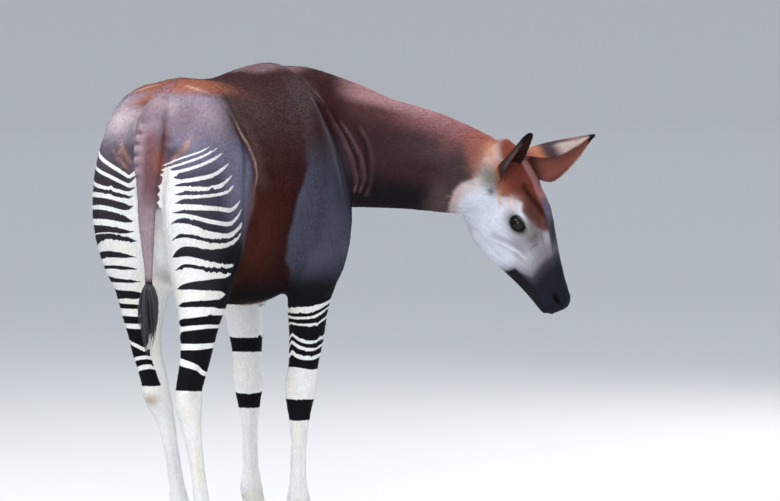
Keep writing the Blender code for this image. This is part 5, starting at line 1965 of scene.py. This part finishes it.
class OkapiCoatSettings(bpy.types.PropertyGroup):
    """Sizes of the coat's tufts."""

    density: FloatProperty(
        name="Density", description="Tufts on each square metre", default=34000.0, min=100.0
    )
    most_tufts: count_setting("Most tufts", "Most tufts of one piece of the coat", 17500, 100)
    width: length_setting("Width", "Width of a tuft", 0.0022, 0.0002)
    thickness: length_setting("Thickness", "Thickness of a tuft", 0.0008, 0.0001)
    sleek: FloatProperty(
        name="Sleekness", description="Share of the skin's own shading in the coat", default=0.8,
        min=0.0, max=1.0,
    )
    tuft_locks: count_setting("Tail locks", "Locks in the tail's tuft", 230, 10)
    seed: count_setting("Seed", "Start of the random draws", 4, 0)


class OkapiStageSettings(bpy.types.PropertyGroup):
    """Floor and light."""

    floor: colour_setting("Floor", "Pale floor", (0.66, 0.66, 0.65))
    floor_reach: length_setting("Floor reach", "Flat part of the floor, from the middle", 60.0, 5.0)
    floor_curve: length_setting("Floor curve", "Radius of the curve up to the wall", 12.0, 0.5)
    wall_height: length_setting("Wall height", "Straight part of the wall", 1.0, 0.0)
    world: colour_setting("Surroundings", "Pale light from all round", (0.84, 0.9, 1.0))
    world_strength: FloatProperty(
        name="Surround light", description="Strength of the light from all round", default=0.8,
        min=0.0,
    )
    key: power_setting("Key light", "Power of the large light overhead", 250.0)
    fill: power_setting("Fill light", "Power of the light beside the camera", 160.0)


class OKAPI_OT_stage(bpy.types.Operator):
    """Sets the camera, floor and lights"""

    bl_idname = "okapi.stage"
    bl_label = "Stage"

    def execute(self, context):
        settings = context.scene.okapi_stage
        make_camera()
        make_floor(settings)
        make_world(settings)
        make_light(
            "key", at(-1.2, -0.8, 5.4), at(-0.1, 0.1, 1.0), 4.5, settings.key, (0.97, 0.98, 1.0)
        )
        make_light(
            "fill", at(-6.0, 2.2, 2.6), at(0, 0.1, 0.9), 3.0, settings.fill, (1.0, 0.99, 0.97)
        )
        make_light(
            "front", at(5.0, 1.5, 3.4), at(0, 0.1, 1.0), 3.0, settings.fill * 0.8, (1.0, 0.98, 0.96)
        )
        return {"FINISHED"}


class OKAPI_OT_skin(bpy.types.Operator):
    """Makes the one skin of body, head, ears, tail and legs, with its folds and markings"""

    bl_idname = "okapi.skin"
    bl_label = "Skin"

    def execute(self, context):
        make_skin(context.scene.okapi_skin, context.scene.okapi_colours)
        return {"FINISHED"}


class OKAPI_OT_eyes(bpy.types.Operator):
    """Makes both eyes"""

    bl_idname = "okapi.eyes"
    bl_label = "Eyes"

    def execute(self, context):
        make_eye("eye_right", 1)
        make_eye("eye_left", -1)
        return {"FINISHED"}


class OKAPI_OT_hooves(bpy.types.Operator):
    """Makes the eight claws of the hooves"""

    bl_idname = "okapi.hooves"
    bl_label = "Hooves"

    def execute(self, context):
        for node in HOOF_NODES:
            make_hoof(node)
        return {"FINISHED"}


class OKAPI_OT_tail_tuft(bpy.types.Operator):
    """Makes the long hair at the end of the tail"""

    bl_idname = "okapi.tail_tuft"
    bl_label = "Tail tuft"

    def execute(self, context):
        make_tail_tuft(context.scene.okapi_coat)
        return {"FINISHED"}


class OKAPI_OT_coat(bpy.types.Operator):
    """Grows the short coat in tufts over the skin"""

    bl_idname = "okapi.coat"
    bl_label = "Coat"

    def execute(self, context):
        skin = bpy.data.objects.get("skin")
        if skin is None:
            raise RuntimeError("the coat needs the skin to be made first")
        make_coat(skin, context.scene.okapi_coat, context.scene.okapi_colours)
        return {"FINISHED"}


class OKAPI_PT_panel(bpy.types.Panel):
    """Lists the pieces and their settings"""

    bl_label = "Okapi"
    bl_idname = "OKAPI_PT_panel"
    bl_space_type = "VIEW_3D"
    bl_region_type = "UI"
    bl_category = "Okapi"

    def draw(self, context):
        for group in SETTINGS:
            box = self.layout.box()
            settings = getattr(context.scene, group)
            for name in SETTINGS[group].__annotations__:
                box.prop(settings, name)
        for operator in OPERATORS:
            self.layout.operator(operator.bl_idname)


SETTINGS = {
    "okapi_skin": OkapiSkinSettings,
    "okapi_colours": OkapiColours,
    "okapi_coat": OkapiCoatSettings,
    "okapi_stage": OkapiStageSettings,
}
OPERATORS = (
    OKAPI_OT_stage, OKAPI_OT_skin, OKAPI_OT_eyes, OKAPI_OT_hooves, OKAPI_OT_tail_tuft, OKAPI_OT_coat
)


def register():
    for kind in (*SETTINGS.values(), *OPERATORS, OKAPI_PT_panel):
        bpy.utils.register_class(kind)
    for name, kind in SETTINGS.items():
        setattr(bpy.types.Scene, name, PointerProperty(type=kind))


def unregister():
    for name in SETTINGS:
        delattr(bpy.types.Scene, name)
    for kind in reversed((*SETTINGS.values(), *OPERATORS, OKAPI_PT_panel)):
        bpy.utils.unregister_class(kind)


def main():
    register()
    bpy.ops.okapi.stage()
    bpy.ops.okapi.skin()
    bpy.ops.okapi.eyes()
    bpy.ops.okapi.hooves()
    bpy.ops.okapi.tail_tuft()
    bpy.ops.okapi.coat()


if __name__ == "__main__":
    main()
